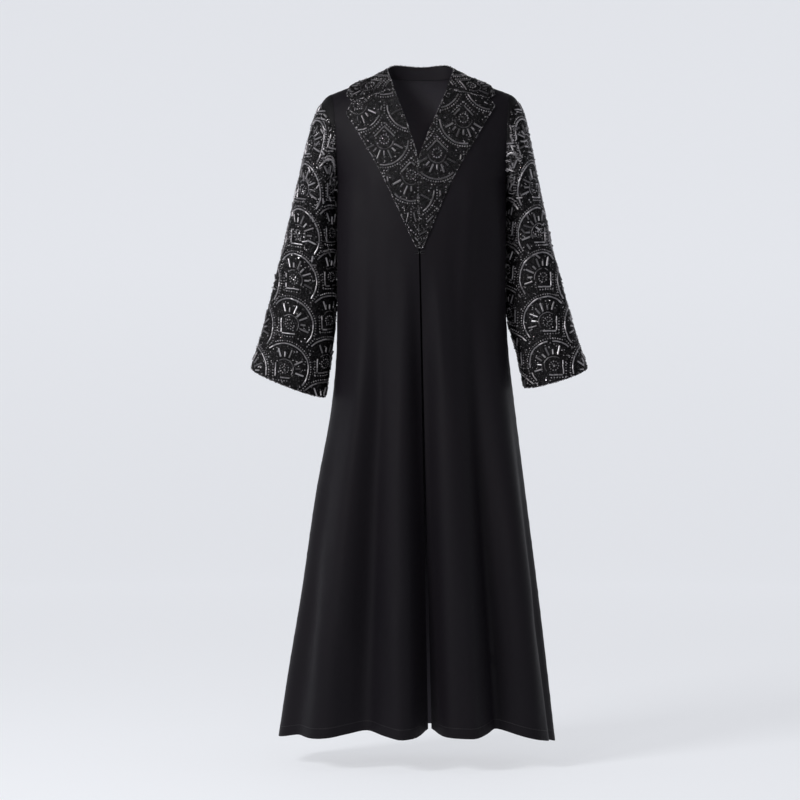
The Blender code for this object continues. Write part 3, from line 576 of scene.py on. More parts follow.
def lapel_points(side):
    """Lies on the front. Rows from the gorge and notch down, columns from the neck edge out."""
    gorge = GORGE_DEGREES / 180
    gorge_x, gorge_z = neck_edge_x(gorge), skin_point(side, neck_edge_x(gorge), gorge)[2]
    outer = [Outline(o.x, o.z + side * LEFT_LIFT * (1 - m) ** 2) for o, m in zip(LAPEL_OUTLINE, LAPEL_MARKS)]
    outer_x = Curve(LAPEL_MARKS, [o.x for o in outer])
    outer_z = Curve(LAPEL_MARKS, [o.z for o in outer])
    kink_x = NOTCH_X - mix(gorge_x, outer[0].x, NOTCH_SHARE)
    kink_z = NOTCH_Z + side * LEFT_LIFT / 2 - mix(gorge_z, outer[0].z, NOTCH_SHARE)
    grid = []
    for j in range(LAPEL_ROWS + 1):
        share = j / LAPEL_ROWS
        edge_z = mix(gorge_z, outer[-1].z, share)
        edge_x = neck_edge_x(row_of(side, edge_z, neck_edge_x))
        line = []
        for k in range(LAPEL_COLUMNS + 1):
            across = k / LAPEL_COLUMNS
            kink = min(across / NOTCH_SHARE, (1 - across) / (1 - NOTCH_SHARE))
            kink *= (1 - share) ** LAPEL_KINK_POWER
            x = max(mix(edge_x, outer_x(share), across) + kink * kink_x, FRONT_EDGE_TOP)
            z = mix(edge_z, outer_z(share), across) + kink * kink_z
            row = row_of(side, z, lambda _, x=x: x)
            line.append(skin_point(side, x, row) + LAY_OFF * skin_normal(side, x, row))
        grid.append(line)
    return np.array(grid)


def neckline():
    """x and row along half the neck seam, from the centre back round to the gorge."""
    behind = COLLAR_SEAM_POINTS // 2
    turns = [math.pi / 2 * k / behind for k in range(behind)]
    seam = [(NECK_HALF * math.sin(t), -BACK_NECK * math.cos(t)) for t in turns]
    ahead = np.linspace(0.0, GORGE_DEGREES / 180, COLLAR_SEAM_POINTS - behind)
    return seam + [(neck_edge_x(r), r) for r in ahead]


# Where the shoulder seam and the stand's steps lie along the half seam, as in the solids.
SHOULDER_PLACE = 8 / 13
STAND_HEIGHT = Curve(
    [0.0, SHOULDER_PLACE * STAND_FLAT, SHOULDER_PLACE, 1.0],
    [STAND_BACK, STAND_BACK, STAND_SIDE, STAND_FRONT],
)


def seam_places():
    """The place, 0 at the centre back to 1 at the gorge, of each point of the half seam."""
    behind = COLLAR_SEAM_POINTS // 2
    back = np.arange(behind) / behind * SHOULDER_PLACE
    return np.concatenate([back, np.linspace(SHOULDER_PLACE, 1.0, COLLAR_SEAM_POINTS - behind)])


def stand_foot(side, x, row):
    """Foot of the collar stand, a seam's gap inside the neck edge, and the way inwards."""
    point = skin_point(side, x, row)
    if row <= 0:
        inward = np.array((-side * x, -abs(point[1]), 0.0))
    else:
        inward = np.array((-side, 0.35, 0.0))
    inward = unit(inward + np.array((0.0, -1e-6, 0.0)))
    return point + inward * (SOLID_CREPE_WALL / 2 + SEAM), inward


def both_sides(column_at):
    """Columns from the wearer's right gorge round the back neck to the left gorge."""
    seam, places = neckline(), seam_places()
    columns = [column_at(RIGHT, seam[k], places[k]) for k in range(len(seam) - 1, 0, -1)]
    columns += [column_at(LEFT, seam[k], places[k]) for k in range(len(seam))]
    return np.array(columns).transpose(1, 0, 2)


def stand_column(side, place_on_seam, place):
    """One column of the collar stand, from its top edge down to its foot."""
    foot, inward = stand_foot(side, *place_on_seam)
    lean = inward * STAND_LEAN + np.array((0.0, 0.0, 1.0))
    return [foot + lean * STAND_HEIGHT(place) * (1 - k / STAND_ROWS) for k in range(STAND_ROWS + 1)]


def collar_column(side, place_on_seam, place):
    """One column of the turned-down collar, from the fold to its outer edge."""
    neck_x, neck_row = place_on_seam
    edge_x, edge_row = COLLAR_X(place), COLLAR_ROW(place)
    _, inward = stand_foot(side, *place_on_seam)
    out = (SOLID_CREPE_WALL + SOLID_BEADED_WALL) / 2 + SEAM
    fold = stand_column(side, place_on_seam, place)[0] - inward * out + np.array((0.0, 0.0, FOLD_RISE))
    rest = skin_point(side, neck_x, neck_row) + LAY_OFF * skin_normal(side, neck_x, neck_row)
    notch_row = row_of(side, NOTCH_Z + side * LEFT_LIFT / 2, lambda _: NOTCH_X)
    kink_x = NOTCH_X - mix(neck_x, edge_x, NOTCH_SHARE)
    kink_row = notch_row - mix(neck_row, edge_row, NOTCH_SHARE)
    end = ease((place - 1 + COLLAR_END_BLEND) / COLLAR_END_BLEND)
    column = []
    for j in range(COLLAR_ROWS + 1):
        across = j / COLLAR_ROWS
        kink = end * min(across / NOTCH_SHARE, (1 - across) / (1 - NOTCH_SHARE))
        x = mix(neck_x, edge_x, across) + kink * kink_x
        row = mix(neck_row, edge_row, across) + kink * kink_row
        on_body = skin_point(side, x, row) + LAY_OFF * skin_normal(side, x, row)
        column.append(on_body + (fold - rest) * (1 - across) ** COLLAR_FALL_POWER)
    return column


def grid_normals(grid, closed):
    """Unit normals of a grid whose rows go down and whose columns go across."""
    across = np.empty_like(grid)
    if closed:
        across = np.roll(grid, -1, axis=1) - np.roll(grid, 1, axis=1)
    else:
        across[:, 1:-1] = grid[:, 2:] - grid[:, :-2]
        across[:, 0], across[:, -1] = grid[:, 1] - grid[:, 0], grid[:, -1] - grid[:, -2]
    down = np.empty_like(grid)
    down[1:-1] = grid[2:] - grid[:-2]
    down[0], down[-1] = grid[1] - grid[0], grid[-1] - grid[-2]
    return unit_rows(np.cross(down, across))


class Cloth:
    """A piece of thin cloth: its middle surface, outward normals and thickness at each point."""

    def __init__(self, name, grid, wall, material, closed=False, flip=False, seams=(), pale=(0.0, 1.0)):
        # pale is the share of the paler inside colour on the outer and the inner wall; that colour is partly
        # painted light.
        self.name, self.grid, self.material, self.pale = name, grid, material, pale
        self.closed, self.flip, self.seams = closed, flip, seams
        self.normals = grid_normals(grid, closed) * (-1 if flip else 1)
        self.wall = np.full(grid.shape[:2], wall)
        self.down = self.lengths(axis=0)
        self.across = self.lengths(axis=1)

    def lengths(self, axis):
        """Distance along the cloth from the first row or column."""
        steps = np.linalg.norm(np.diff(self.grid, axis=axis), axis=2)
        start = np.zeros_like(steps[:1] if axis == 0 else steps[:, :1])
        return np.concatenate([start, np.cumsum(steps, axis=axis)], axis=axis)

    def skin(self):
        """The outer side of the wall."""
        return self.grid + self.normals * self.wall[..., None] / 2

    def turn_hem(self):
        """Thickens the last stretch of the cloth where its hem is turned up."""
        from_hem = self.down[-1] - self.down
        edge = np.clip((HEM_TURN - from_hem) / HEM_STEP, 0, 1)
        self.wall = self.wall + HEM_EXTRA * edge * edge * (3 - 2 * edge)

    def pucker(self, rng):
        """Small uneven ripples that run out from the sewn edges."""
        rows, columns = self.grid.shape[:2]
        push = np.zeros((rows, columns))
        for edge, distance in (("first", self.across), ("last", self.across[:, -1:] - self.across)):
            if edge in self.seams:
                places = self.down[:, 0 if edge == "first" else -1]
                push += smooth_noise(rng, places, SIDE_PUCKER_PITCH)[:, None] * near_seam(distance)
        if "top" in self.seams:
            push += smooth_noise(rng, self.across[0], TOP_PUCKER_PITCH)[None, :] * near_seam(self.down)
        self.grid = self.grid + self.normals * (SEAM_PUCKER * push)[..., None]

    def open_seams(self):
        """Draws the edges that are sewn to another piece back by half the seam's gap."""
        grid = self.grid.copy()
        if "top" in self.seams:
            grid[0] += SEAM / 2 * unit_rows(self.grid[1] - self.grid[0])
        if "first" in self.seams:
            grid[:, 0] += SEAM / 2 * unit_rows(self.grid[:, 1] - self.grid[:, 0])
        if "last" in self.seams:
            grid[:, -1] += SEAM / 2 * unit_rows(self.grid[:, -2] - self.grid[:, -1])
        self.grid = grid

    def build(self, node, slot_name):
        """Makes the closed wall with coordinates in metres of cloth, and puts it in the node's place."""
        rows, columns = self.grid.shape[:2]
        half = self.normals * self.wall[..., None] / 2
        vertices = np.concatenate([(self.grid + half).reshape(-1, 3), (self.grid - half).reshape(-1, 3)])
        count = rows * columns
        spans = columns if self.closed else columns - 1
        r, c = [a.ravel() for a in np.meshgrid(np.arange(rows - 1), np.arange(spans), indexing="ij")]
        c2 = (c + 1) % columns
        a, b, d, e = r * columns + c, (r + 1) * columns + c, (r + 1) * columns + c2, r * columns + c2
        faces = [np.stack([a, b, d, e], 1), np.stack([a, e, d, b], 1) + count]
        c = np.arange(spans)
        c2 = (c + 1) % columns
        foot = (rows - 1) * columns
        faces.append(np.stack([c, c2, c2 + count, c + count], 1))
        faces.append(np.stack([foot + c, foot + c + count, foot + c2 + count, foot + c2], 1))
        if not self.closed:
            r = np.arange(rows - 1) * columns
            faces.append(np.stack([r, r + count, r + columns + count, r + columns], 1))
            r = r + columns - 1
            faces.append(np.stack([r, r + columns, r + columns + count, r + count], 1))
        faces = np.concatenate(faces)
        if self.flip:
            faces = faces[:, ::-1]
        mesh = make_mesh(self.name, vertices, faces)
        flat = np.stack([self.across, -self.down], axis=2).reshape(-1, 2)
        flat = np.concatenate([flat, flat])
        layer = mesh.uv_layers.new(name="cloth")
        layer.data.foreach_set("uv", flat[faces.ravel()].astype(np.float32).ravel())
        mesh.set_sharp_from_angle(angle=math.radians(50))
        # The inner wall gets the paler inside colour. This is partly a matt reverse side and partly painted
        # light standing in for light that reaches into the neck.
        pale = np.full(len(faces), self.pale[0], np.float32)
        outer = (rows - 1) * spans
        pale[outer : 2 * outer] = self.pale[1]
        mesh.attributes.new("pale", "FLOAT", "FACE").data.foreach_set("value", pale)
        made = add_object(self.name, mesh, self.material)
        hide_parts(node)
        return made


def near_seam(distance):
    """How strongly a seam's puckers show at a distance from it."""
    return np.exp(-((distance / SEAM_REACH) ** 2)) * np.clip(distance / SEAM_FLAT, 0, 1)


def smooth_noise(rng, places, pitch):
    """Uneven soft waves along a line, about one for each pitch."""
    total = np.zeros_like(places)
    for scale in (1.0, 0.63, 1.7):
        total = total + np.sin(places / (pitch * scale) * 2 * math.pi + rng.uniform(0, 2 * math.pi))
    return total / 3


def make_mesh(name, vertices, faces):
    """A mesh from arrays; every face has the same number of corners."""
    faces = np.asarray(faces)
    count, corners = faces.shape
    mesh = bpy.data.meshes.new(name)
    mesh.vertices.add(len(vertices))
    mesh.vertices.foreach_set("co", np.asarray(vertices, np.float32).ravel())
    mesh.loops.add(count * corners)
    mesh.loops.foreach_set("vertex_index", faces.astype(np.int32).ravel())
    mesh.polygons.add(count)
    mesh.polygons.foreach_set("loop_start", np.arange(0, count * corners, corners, dtype=np.int32))
    mesh.update(calc_edges=True)
    mesh.validate()
    mesh.shade_smooth()
    return mesh


def add_object(name, mesh, material):
    """Puts a mesh in the scene as a piece of the part."""
    made = bpy.data.objects.new(name, mesh)
    bpy.context.scene.collection.objects.link(made)
    mesh.materials.append(material)
    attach(made, "root")
    return made


def share_seam_normals(pieces):
    """Where two pieces meet at a point, both walls end on the same plane."""
    found = {}
    for piece in pieces:
        rows, columns = piece.grid.shape[:2]
        border = [(0, c) for c in range(columns)]
        if not piece.closed:
            border = [(r, c) for r in range(rows) for c in (0, columns - 1)] + border
        for index in set(border):
            found.setdefault(tuple(np.round(piece.grid[index], 5)), []).append((piece, index))
    for places in found.values():
        if len(places) > 1:
            normal = unit(sum(piece.normals[index] for piece, index in places))
            for piece, index in places:
                piece.normals[index] = normal


# The bead chart: a plain scallop, or fish scale, with a fan in each scale. Lengths in metres.
SCALE_WIDTH, SCALE_HEIGHT = 0.112, 0.076
ARC_BOLD = (0.0500, 0.0550)  # half width and depth of the scallop, and of the lines round and in it
ARC_DOTS = (0.0560, 0.0605)
ARC_THIN = (0.0185, 0.0205)
ROOF_APEX, ROOF_EAVE_X, ROOF_EAVE_Y = 0.0270, 0.0210, 0.0060
ROOF_HALF_GAP = 0.001
ROOF_DOTS, ROOF_DOT_COUNT = 0.008, 6  # height over the roof, and how many on each side
CUSP_DOTS = (0.004, -0.002, -0.008, -0.014, -0.020)  # heights of the dots between two scallops
MEDALLION, MEDALLION_CUPS = 0.0095, 0.0046
SPOKE_TURNS = (-152, -131, -110, -90, -70, -49, -28)
SPOKES = [(0.0245, 0.0435), (0.0245, 0.0350)]  # where the longer and the shorter spokes start and end

# Kinds of bugle: length, radius and how bright they may be, from 0 to 1.
Bugle = namedtuple("Bugle", "length radius tone_low tone_high")
BUGLES = [
    Bugle(0.0100, 0.00175, 0.40, 0.85),
    Bugle(0.0080, 0.00120, 0.12, 0.40),
    Bugle(0.0140, 0.00205, 0.15, 1.00),
]
BOLD, THIN, BAR = range(3)
BUGLE_GAP = 0.0004
BEAD_PITCH, BEAD_RADIUS = 0.00335, 0.00150
DOT_PITCH, DOT_RADIUS = 0.0052, 0.00185
SEQUIN_RADIUS = 0.0020
SPARKLE_SHARE = 0.07  # share of the ground's small beads that catch the light
EDGE_CLEAR = 0.0007
LAPEL_ANCHORS = {LEFT: (0.0335, -0.1790), RIGHT: (-0.0765, -0.1490)}  # a scale's centre
SLEEVE_ANCHOR, SLEEVE_TURN = (0.088, 0.128), math.radians(-30)
COLLAR_ANCHOR = (0.0, -0.045)
EDGE_PITCH = 0.0036
GLINT_BARS, GLINT_CUPS = 150, 330  # strewn over a sleeve
GLINT_BARS_FROM = 0.42  # the lower part of a sleeve has none
GLINT_BAR_SHARE = 0.85  # their length next to the other bars
BAR_EDGE_CLEAR = 0.0045
LOST_SHARE = 0.02  # share of the bugles that is missing
DULL_AND_PAINTED_SHADE_TONE, DULL_AND_PAINTED_SHADE_CUPS = 0.45, 0.35  # where nothing is strewn (lapels and collar), beads are this much duller; partly painted shade that offsets the lamps' light there
ROW_STEP = 0.87  # the small beads' rows stand closer than their columns

# A sleeve's cap has no beads nearer the mid-plane than this: heights, and the distance at each.
PLAIN_CAP = {
    LEFT: ((-0.120, -0.110, -0.080, -0.064, -0.030), (0.0, 0.186, 0.192, 0.206, 0.270)),
    RIGHT: ((-0.125, -0.115, -0.081, -0.062, -0.030), (0.0, 0.188, 0.201, 0.218, 0.280)),
}


def arc_strokes(arc, start, end, kind):
    """Bugles laid end to end along an arc round 0, 0: x, y, turn, kind and length. Angles in degrees."""
    length = sum(arc) / 2 * math.radians(end - start)
    count = max(round(length / BUGLES[kind].length), 1)
    turns = np.radians(start + (np.arange(count) + 0.5) / count * (end - start))
    x, y = arc[0] * np.cos(turns), arc[1] * np.sin(turns)
    along = np.arctan2(arc[1] * np.cos(turns), -arc[0] * np.sin(turns))
    one = np.ones(count)
    each = (length / count - BUGLE_GAP) * one
    return np.stack([x, y, along, kind * one, each], 1)


def line_strokes(x0, y0, x1, y1, kind):
    """Bugles laid end to end along a straight line, in the same columns."""
    length = math.hypot(x1 - x0, y1 - y0)
    count = max(round(length / BUGLES[kind].length), 1)
    share = (np.arange(count) + 0.5) / count
    turn, one = math.atan2(y1 - y0, x1 - x0), np.ones(count)
    each = (length / count - BUGLE_GAP) * one
    return np.stack([mix(x0, x1, share), mix(y0, y1, share), turn * one, kind * one, each], 1)


def motif_strokes():
    """The bugles of one scale, round side down, its circle's centre at 0, 0."""
    parts = [arc_strokes(ARC_BOLD, -177, -3, BOLD), arc_strokes(ARC_THIN, -172, -8, THIN)]
    for sign in (-1, 1):
        parts.append(line_strokes(sign * ROOF_EAVE_X, ROOF_EAVE_Y, sign * ROOF_HALF_GAP, ROOF_APEX, BOLD))
    for k, turn in enumerate(SPOKE_TURNS):
        near, far = SPOKES[k % 2]
        x, y = math.cos(math.radians(turn)), math.sin(math.radians(turn))
        parts.append(line_strokes(near * x, near * y, far * x, far * y, BAR))
    return np.concatenate(parts)


def motif_dots():
    """The rows of round beads that are part of the drawing."""
    places = []
    for arc, start, end in ((ARC_DOTS, -156, -24), ((MEDALLION, MEDALLION), 0, 330)):
        count = int(sum(arc) / 2 * math.radians(end - start) / DOT_PITCH) + 1
        turns = np.radians(np.linspace(start, end, count))
        places.append(np.stack([arc[0] * np.cos(turns), arc[1] * np.sin(turns)], 1))
    for sign in (-1, 1):
        share = np.linspace(0.0, 1.0, ROOF_DOT_COUNT)
        height = mix(ROOF_APEX, ROOF_EAVE_Y, share) + ROOF_DOTS
        places.append(np.stack([sign * (share * ROOF_EAVE_X + ROOF_HALF_GAP), height], 1))
    places.append(np.array([(SCALE_WIDTH / 2, y) for y in CUSP_DOTS]))
    return np.concatenate(places)


def motif_sequins():
    """Small cups in the medallion."""
    ring = [(MEDALLION_CUPS * math.cos(a), MEDALLION_CUPS * math.sin(a)) for a in np.radians((30, 150, 270))]
    return np.array([(0.0, 0.0)] + ring)


def turned(points, angle):
    """Points of the chart turned round 0, 0."""
    cosine, sine = math.cos(angle), math.sin(angle)
    return points @ np.array([[cosine, sine], [-sine, cosine]])


def tile(points, low, high, anchor):
    """Repeats a motif's points over the scallop lattice so that they cover a rectangle."""
    pitch = (SCALE_WIDTH, SCALE_HEIGHT)
    reach = 1.2 * SCALE_WIDTH
    first = [math.floor((low[k] - reach - anchor[k]) / pitch[k]) for k in range(2)]
    last = [math.ceil((high[k] + reach - anchor[k]) / pitch[k]) for k in range(2)]
    made = []
    for row in range(first[1], last[1] + 1):
        for column in range(first[0] - 1, last[0] + 1):
            copy = points.copy()
            copy[:, 0] += anchor[0] + (column + (row % 2) / 2) * SCALE_WIDTH
            copy[:, 1] += anchor[1] + row * SCALE_HEIGHT
            made.append(copy)
    return np.concatenate(made)


class Chart:
    """A flat bead chart laid on a piece of cloth: flat holds the chart's place of each grid point."""

    def __init__(self, grid, normals, flat, closed=False, plain=None):
        rows, columns = flat.shape[:2]
        self.points, self.normals = grid.reshape(-1, 3), normals.reshape(-1, 3)
        self.flat, self.plain = flat.reshape(-1, 2), plain
        r, c = [a.ravel() for a in np.meshgrid(np.arange(rows - 1), np.arange(columns - 1), indexing="ij")]
        a, b, d, e = r * columns + c, (r + 1) * columns + c, (r + 1) * columns + c + 1, r * columns + c + 1
        self.triangles = np.concatenate([np.stack([a, b, d], 1), np.stack([a, d, e], 1)])
        vertices = [(float(u), float(v), 0.0) for u, v in self.flat]
        self.tree = BVHTree.FromPolygons(vertices, self.triangles.tolist())
        self.low, self.high = self.flat.min(0), self.flat.max(0)
        self.edges = self.border(rows, columns, closed)

    def border(self, rows, columns, closed):
        """The chart's outline as points, to keep beads clear of the raw edge."""
        index = np.arange(rows * columns).reshape(rows, columns)
        lines = [index[0], index[-1]] + ([] if closed else [index[:, 0], index[:, -1]])
        found = []
        for line in lines:
            start, end = self.flat[line[:-1]], self.flat[line[1:]]
            for share in np.linspace(0, 1, 6)[:-1]:
                found.append(mix(start, end, share))
        return np.concatenate(found)

    def hits(self, places):
        """Which triangle each place lies in, or -1 where it is off the cloth."""
        found = np.full(len(places), -1)
        down = Vector((0, 0, -1))
        for k, (u, v) in enumerate(places[:, :2]):
            _, _, index, _ = self.tree.ray_cast(Vector((u, v, 1.0)), down)
            if index is not None:
                found[k] = index
        return found

    def keep(self, places, clear):
        """The places that lie on the beaded cloth, clear of its edge."""
        inside = np.all((places[:, :2] > self.low) & (places[:, :2] < self.high), axis=1)
        places = places[inside]
        places = places[self.hits(places) >= 0]
        near = np.empty(len(places))
        for start in range(0, len(places), 2000):
            part = places[start : start + 2000, None, :2]
            near[start : start + 2000] = np.sqrt(((part - self.edges[None]) ** 2).sum(2)).min(1)
        places = places[near > clear]
        if self.plain is not None:
            at = self.frames(places)[0]
            places = places[abs(at[:, 0]) > np.interp(at[:, 2], *self.plain)]
        return places

    def frames(self, places):
        """Where the places come to lie on the cloth, with the chart's two directions and the normal."""
        index = self.triangles[self.hits(places)]
        flat = self.flat[index]
        one, two = flat[:, 1] - flat[:, 0], flat[:, 2] - flat[:, 0]
        area = one[:, 0] * two[:, 1] - one[:, 1] * two[:, 0]
        here = places[:, :2] - flat[:, 0]
        s = (here[:, 0] * two[:, 1] - here[:, 1] * two[:, 0]) / area
        t = (one[:, 0] * here[:, 1] - one[:, 1] * here[:, 0]) / area
        corners, normals = self.points[index], self.normals[index]
        first, second = corners[:, 1] - corners[:, 0], corners[:, 2] - corners[:, 0]
        at = corners[:, 0] + s[:, None] * first + t[:, None] * second
        shares = np.stack([1 - s - t, s, t], 1)
        normal = unit_rows((normals * shares[..., None]).sum(1))
        along_u = (first * two[:, 1:] - second * one[:, 1:]) / area[:, None]
        along_v = (second * one[:, :1] - first * two[:, :1]) / area[:, None]
        return at, unit_rows(along_u), unit_rows(along_v), normal


def bugle_shape():
    """A six-sided tube of unit length and radius along x, as vertices and four-cornered faces."""
    turns = np.radians(np.arange(0, 360, 60))
    ends = [np.stack([np.full(6, x), np.cos(turns), np.sin(turns)], 1) for x in (-0.5, 0.5)]
    faces = [(k, (k + 1) % 6, 6 + (k + 1) % 6, 6 + k) for k in range(6)]
    faces += [(3, 2, 1, 0), (0, 5, 4, 3), (6, 7, 8, 9), (9, 10, 11, 6)]
    return np.concatenate(ends), np.array(faces)


def seed_shape():
    """A small faceted bead of unit radius, as vertices and three-cornered faces."""
    vertices = np.array([(1, 0, 0), (0, 1, 0), (-1, 0, 0), (0, -1, 0), (0, 0, 0.8), (0, 0, -0.5)], float)
    faces = [(0, 1, 4), (1, 2, 4), (2, 3, 4), (3, 0, 4), (1, 0, 5), (2, 1, 5), (3, 2, 5), (0, 3, 5)]
    return vertices, np.array(faces)


def dot_shape():
    """A round bead of unit radius: a low sphere of two rings between its poles."""
    turns = np.radians(np.arange(0, 360, 60))
    rings = [np.stack([np.cos(turns) * 0.9, np.sin(turns) * 0.9, np.full(6, z)], 1) for z in (0.42, -0.42)]
    vertices = np.concatenate(rings + [[(0, 0, 0.9)], [(0, 0, -0.9)]])
    faces = []
    for k in range(6):
        after = (k + 1) % 6
        faces += [(k, after, 12), (after, k, 6 + k), (after, 6 + k, 6 + after), (6 + after, 6 + k, 13)]
    return vertices, np.array(faces)


def sequin_shape():
    """A shallow six-sided cup of unit radius, as vertices and three-cornered faces."""
    turns = np.radians(np.arange(0, 360, 60))
    rim = np.stack([np.cos(turns), np.sin(turns), np.full(6, 0.28)], 1)
    vertices = np.concatenate([rim, [(0, 0, 0)], rim - (0, 0, 0.25)])
    faces = [(k, (k + 1) % 6, 6) for k in range(6)]
    faces += [((k + 1) % 6, k, 7 + k) for k in range(6)]
    faces += [((k + 1) % 6, 7 + k, 7 + (k + 1) % 6) for k in range(6)]
    return vertices, np.array(faces)


def bead_mesh(name, shape, centres, axes, sizes, tones, material):
    """Copies of one bead as one joined piece. axes are its three directions at each centre."""
    vertices, faces = shape
    scaled = vertices[None] * sizes[:, None, :]
    placed = centres[:, None] + sum(scaled[..., k : k + 1] * axes[k][:, None] for k in range(3))
    index = faces[None] + (np.arange(len(centres)) * len(vertices))[:, None, None]
    mesh = make_mesh(name, placed.reshape(-1, 3), index.reshape(-1, faces.shape[1]))
    mesh.set_sharp_from_angle(angle=math.radians(65))
    tone = mesh.attributes.new("tone", "FLOAT", "FACE")
    tone.data.foreach_set("value", np.repeat(tones, len(faces)).astype(np.float32))
    add_object(name, mesh, material)


def tilted_axes(first, normal, tilt, rng):
    """Three directions for each bead, each a little askew."""
    first = unit_rows(first + normal * rng.normal(0, tilt, (len(first), 1)))
    second = unit_rows(np.cross(normal, first) + normal * rng.normal(0, tilt, (len(first), 1)))
    return first, second, np.cross(first, second)


def place_beads(name, shape, chart, places, turns, sizes, lift, tilt, tones, material, rng):
    """Sews copies of one bead on a chart's places."""
    at, along_u, along_v, normal = chart.frames(places)
    first = np.cos(turns)[:, None] * along_u + np.sin(turns)[:, None] * along_v
    axes = tilted_axes(first, normal, tilt, rng)
    return bead_mesh(name, shape, at + normal * lift, axes, sizes, tones, material)


def round_sizes(radius, low, high, count, rng):
    return radius * rng.uniform(low, high, (count, 1)) * np.ones((1, 3))


def sew_beads(name, chart, anchor, sign, turn, glints, materials, rng):
    """Bugles, dots, small beads and sequins of one piece; glints is how much is strewn between.
    sign is -1 where the scallops stand round side up; anchor is the place of one scallop's centre."""
    box = np.array([(x, y) for x in (chart.low[0], chart.high[0]) for y in (chart.low[1], chart.high[1])])
    box, start = (turned(np.array(p, float), -turn) * (1, sign) for p in (box, [anchor]))

    def laid(points):
        points = tile(points, box.min(0), box.max(0), start[0])
        points[:, 1] *= sign
        points[:, :2] = turned(points[:, :2], turn)
        return points

    def strewn(count, from_height):
        places = rng.random((count, 2))
        places[:, 1] = mix(from_height, 1.0, places[:, 1])
        return chart.low + places * (chart.high - chart.low)

    strokes = laid(motif_strokes())
    strokes[:, 2] = strokes[:, 2] * sign + turn
    strokes[:, :2] += rng.normal(0, 0.0002, (len(strokes), 2))
    strokes[:, 2] += rng.normal(0, 0.035, len(strokes))
    bars = np.zeros((int(GLINT_BARS * glints), 5))
    bars[:, :2] = strewn(len(bars), GLINT_BARS_FROM)
    bars[:, 2] = rng.uniform(0, math.pi, len(bars))
    bars[:, 3:] = BAR, BUGLES[BAR].length * GLINT_BAR_SHARE
    strokes = chart.keep(np.concatenate([strokes, bars]), BAR_EDGE_CLEAR)
    strokes = strokes[rng.random(len(strokes)) > LOST_SHARE]
    kinds = np.array(BUGLES)[strokes[:, 3].astype(int)]
    kinds[:, 0] = strokes[:, 4]
    sizes = kinds[:, [0, 1, 1]] * rng.uniform(0.96, 1.02, (len(strokes), 3))
    # Where nothing is strewn the bugles are darkened: duller beads, and partly painted shade against the
    # lamps' light.
    tones = mix(kinds[:, 2], kinds[:, 3], rng.random(len(strokes)) ** 1.4) * (1.0 if glints else DULL_AND_PAINTED_SHADE_TONE)
    place_beads(
        f"bugles_{name}", bugle_shape(), chart, strokes, strokes[:, 2], sizes,
        kinds[:, 1:2] * 0.9, 0.09, tones, materials["bugle"], rng,
    )

    sequins = np.concatenate([laid(motif_sequins()), strewn(int(GLINT_CUPS * glints), 0.0)])
    sequins = chart.keep(sequins, SEQUIN_RADIUS)
    # The sequins there are darkened in the same way, partly as painted shade.
    place_beads(
        f"sequins_{name}", sequin_shape(), chart, sequins, rng.uniform(0, 6.3, len(sequins)),
        round_sizes(SEQUIN_RADIUS, 0.75, 1.15, len(sequins), rng), SEQUIN_RADIUS * 0.55, 0.28,
        rng.random(len(sequins)) * (1.0 if glints else DULL_AND_PAINTED_SHADE_CUPS), materials["sequin"], rng,
    )

    dots = chart.keep(laid(motif_dots()), DOT_RADIUS)
    dots = dots[clear_of(dots, strokes, kinds, DOT_RADIUS)]
    place_beads(
        f"dots_{name}", dot_shape(), chart, dots, rng.uniform(0, 6.3, len(dots)),
        round_sizes(DOT_RADIUS, 0.9, 1.08, len(dots), rng), DOT_RADIUS * 0.7, 0.1,
        rng.uniform(0.2, 0.9, len(dots)), materials["seed"], rng,
    )

    span = chart.high - chart.low
    counts = (span / (BEAD_PITCH, BEAD_PITCH * ROW_STEP)).astype(int) + 1
    column, row = [a.ravel() for a in np.meshgrid(np.arange(counts[0]), np.arange(counts[1]))]
    seeds = chart.low + np.stack([(column + (row % 2) / 2) * BEAD_PITCH, row * BEAD_PITCH * ROW_STEP], 1)
    seeds = chart.keep(seeds + rng.normal(0, 0.0004, seeds.shape), EDGE_CLEAR)
    seeds = seeds[clear_of(seeds, strokes, kinds, BEAD_RADIUS)]
    rounds = np.concatenate([dots, sequins])
    round_kinds = np.tile((2 * DOT_RADIUS, DOT_RADIUS), (len(rounds), 1))
    seeds = seeds[clear_of(seeds, np.pad(rounds, ((0, 0), (0, 1))), round_kinds, BEAD_RADIUS)]
    tones = rng.uniform(0.0, 0.30, len(seeds)) ** 2
    bright = rng.random(len(seeds)) < SPARKLE_SHARE
    tones[bright] = rng.uniform(0.15, 1.0, bright.sum())
    place_beads(
        f"seeds_{name}", seed_shape(), chart, seeds, rng.uniform(0, 6.3, len(seeds)),
        round_sizes(BEAD_RADIUS, 0.82, 1.15, len(seeds), rng), BEAD_RADIUS * 0.7, 0.22,
        tones, materials["seed"], rng,
    )


def clear_of(points, others, kinds, radius):
    """True for the points whose bead of that radius misses the others; kinds give length and radius."""
    cell = 0.008
    buckets = {}
    for k, key in enumerate(map(tuple, np.floor(others[:, :2] / cell).astype(int))):
        buckets.setdefault(key, []).append(k)
    cosine, sine = np.cos(others[:, 2]), np.sin(others[:, 2])
    clear = np.ones(len(points), bool)
    for k, (u, v) in enumerate(points[:, :2]):
        iu, iv = math.floor(u / cell), math.floor(v / cell)
        near = [o for du in (-1, 0, 1) for dv in (-1, 0, 1) for o in buckets.get((iu + du, iv + dv), ())]
        for other in near:
            x, y = u - others[other, 0], v - others[other, 1]
            along = abs(x * cosine[other] + y * sine[other])
            aside = abs(y * cosine[other] - x * sine[other])
            if along < kinds[other, 0] / 2 + radius * 0.5 and aside < kinds[other, 1] + radius * 0.8:
                clear[k] = False
                break
    return clear


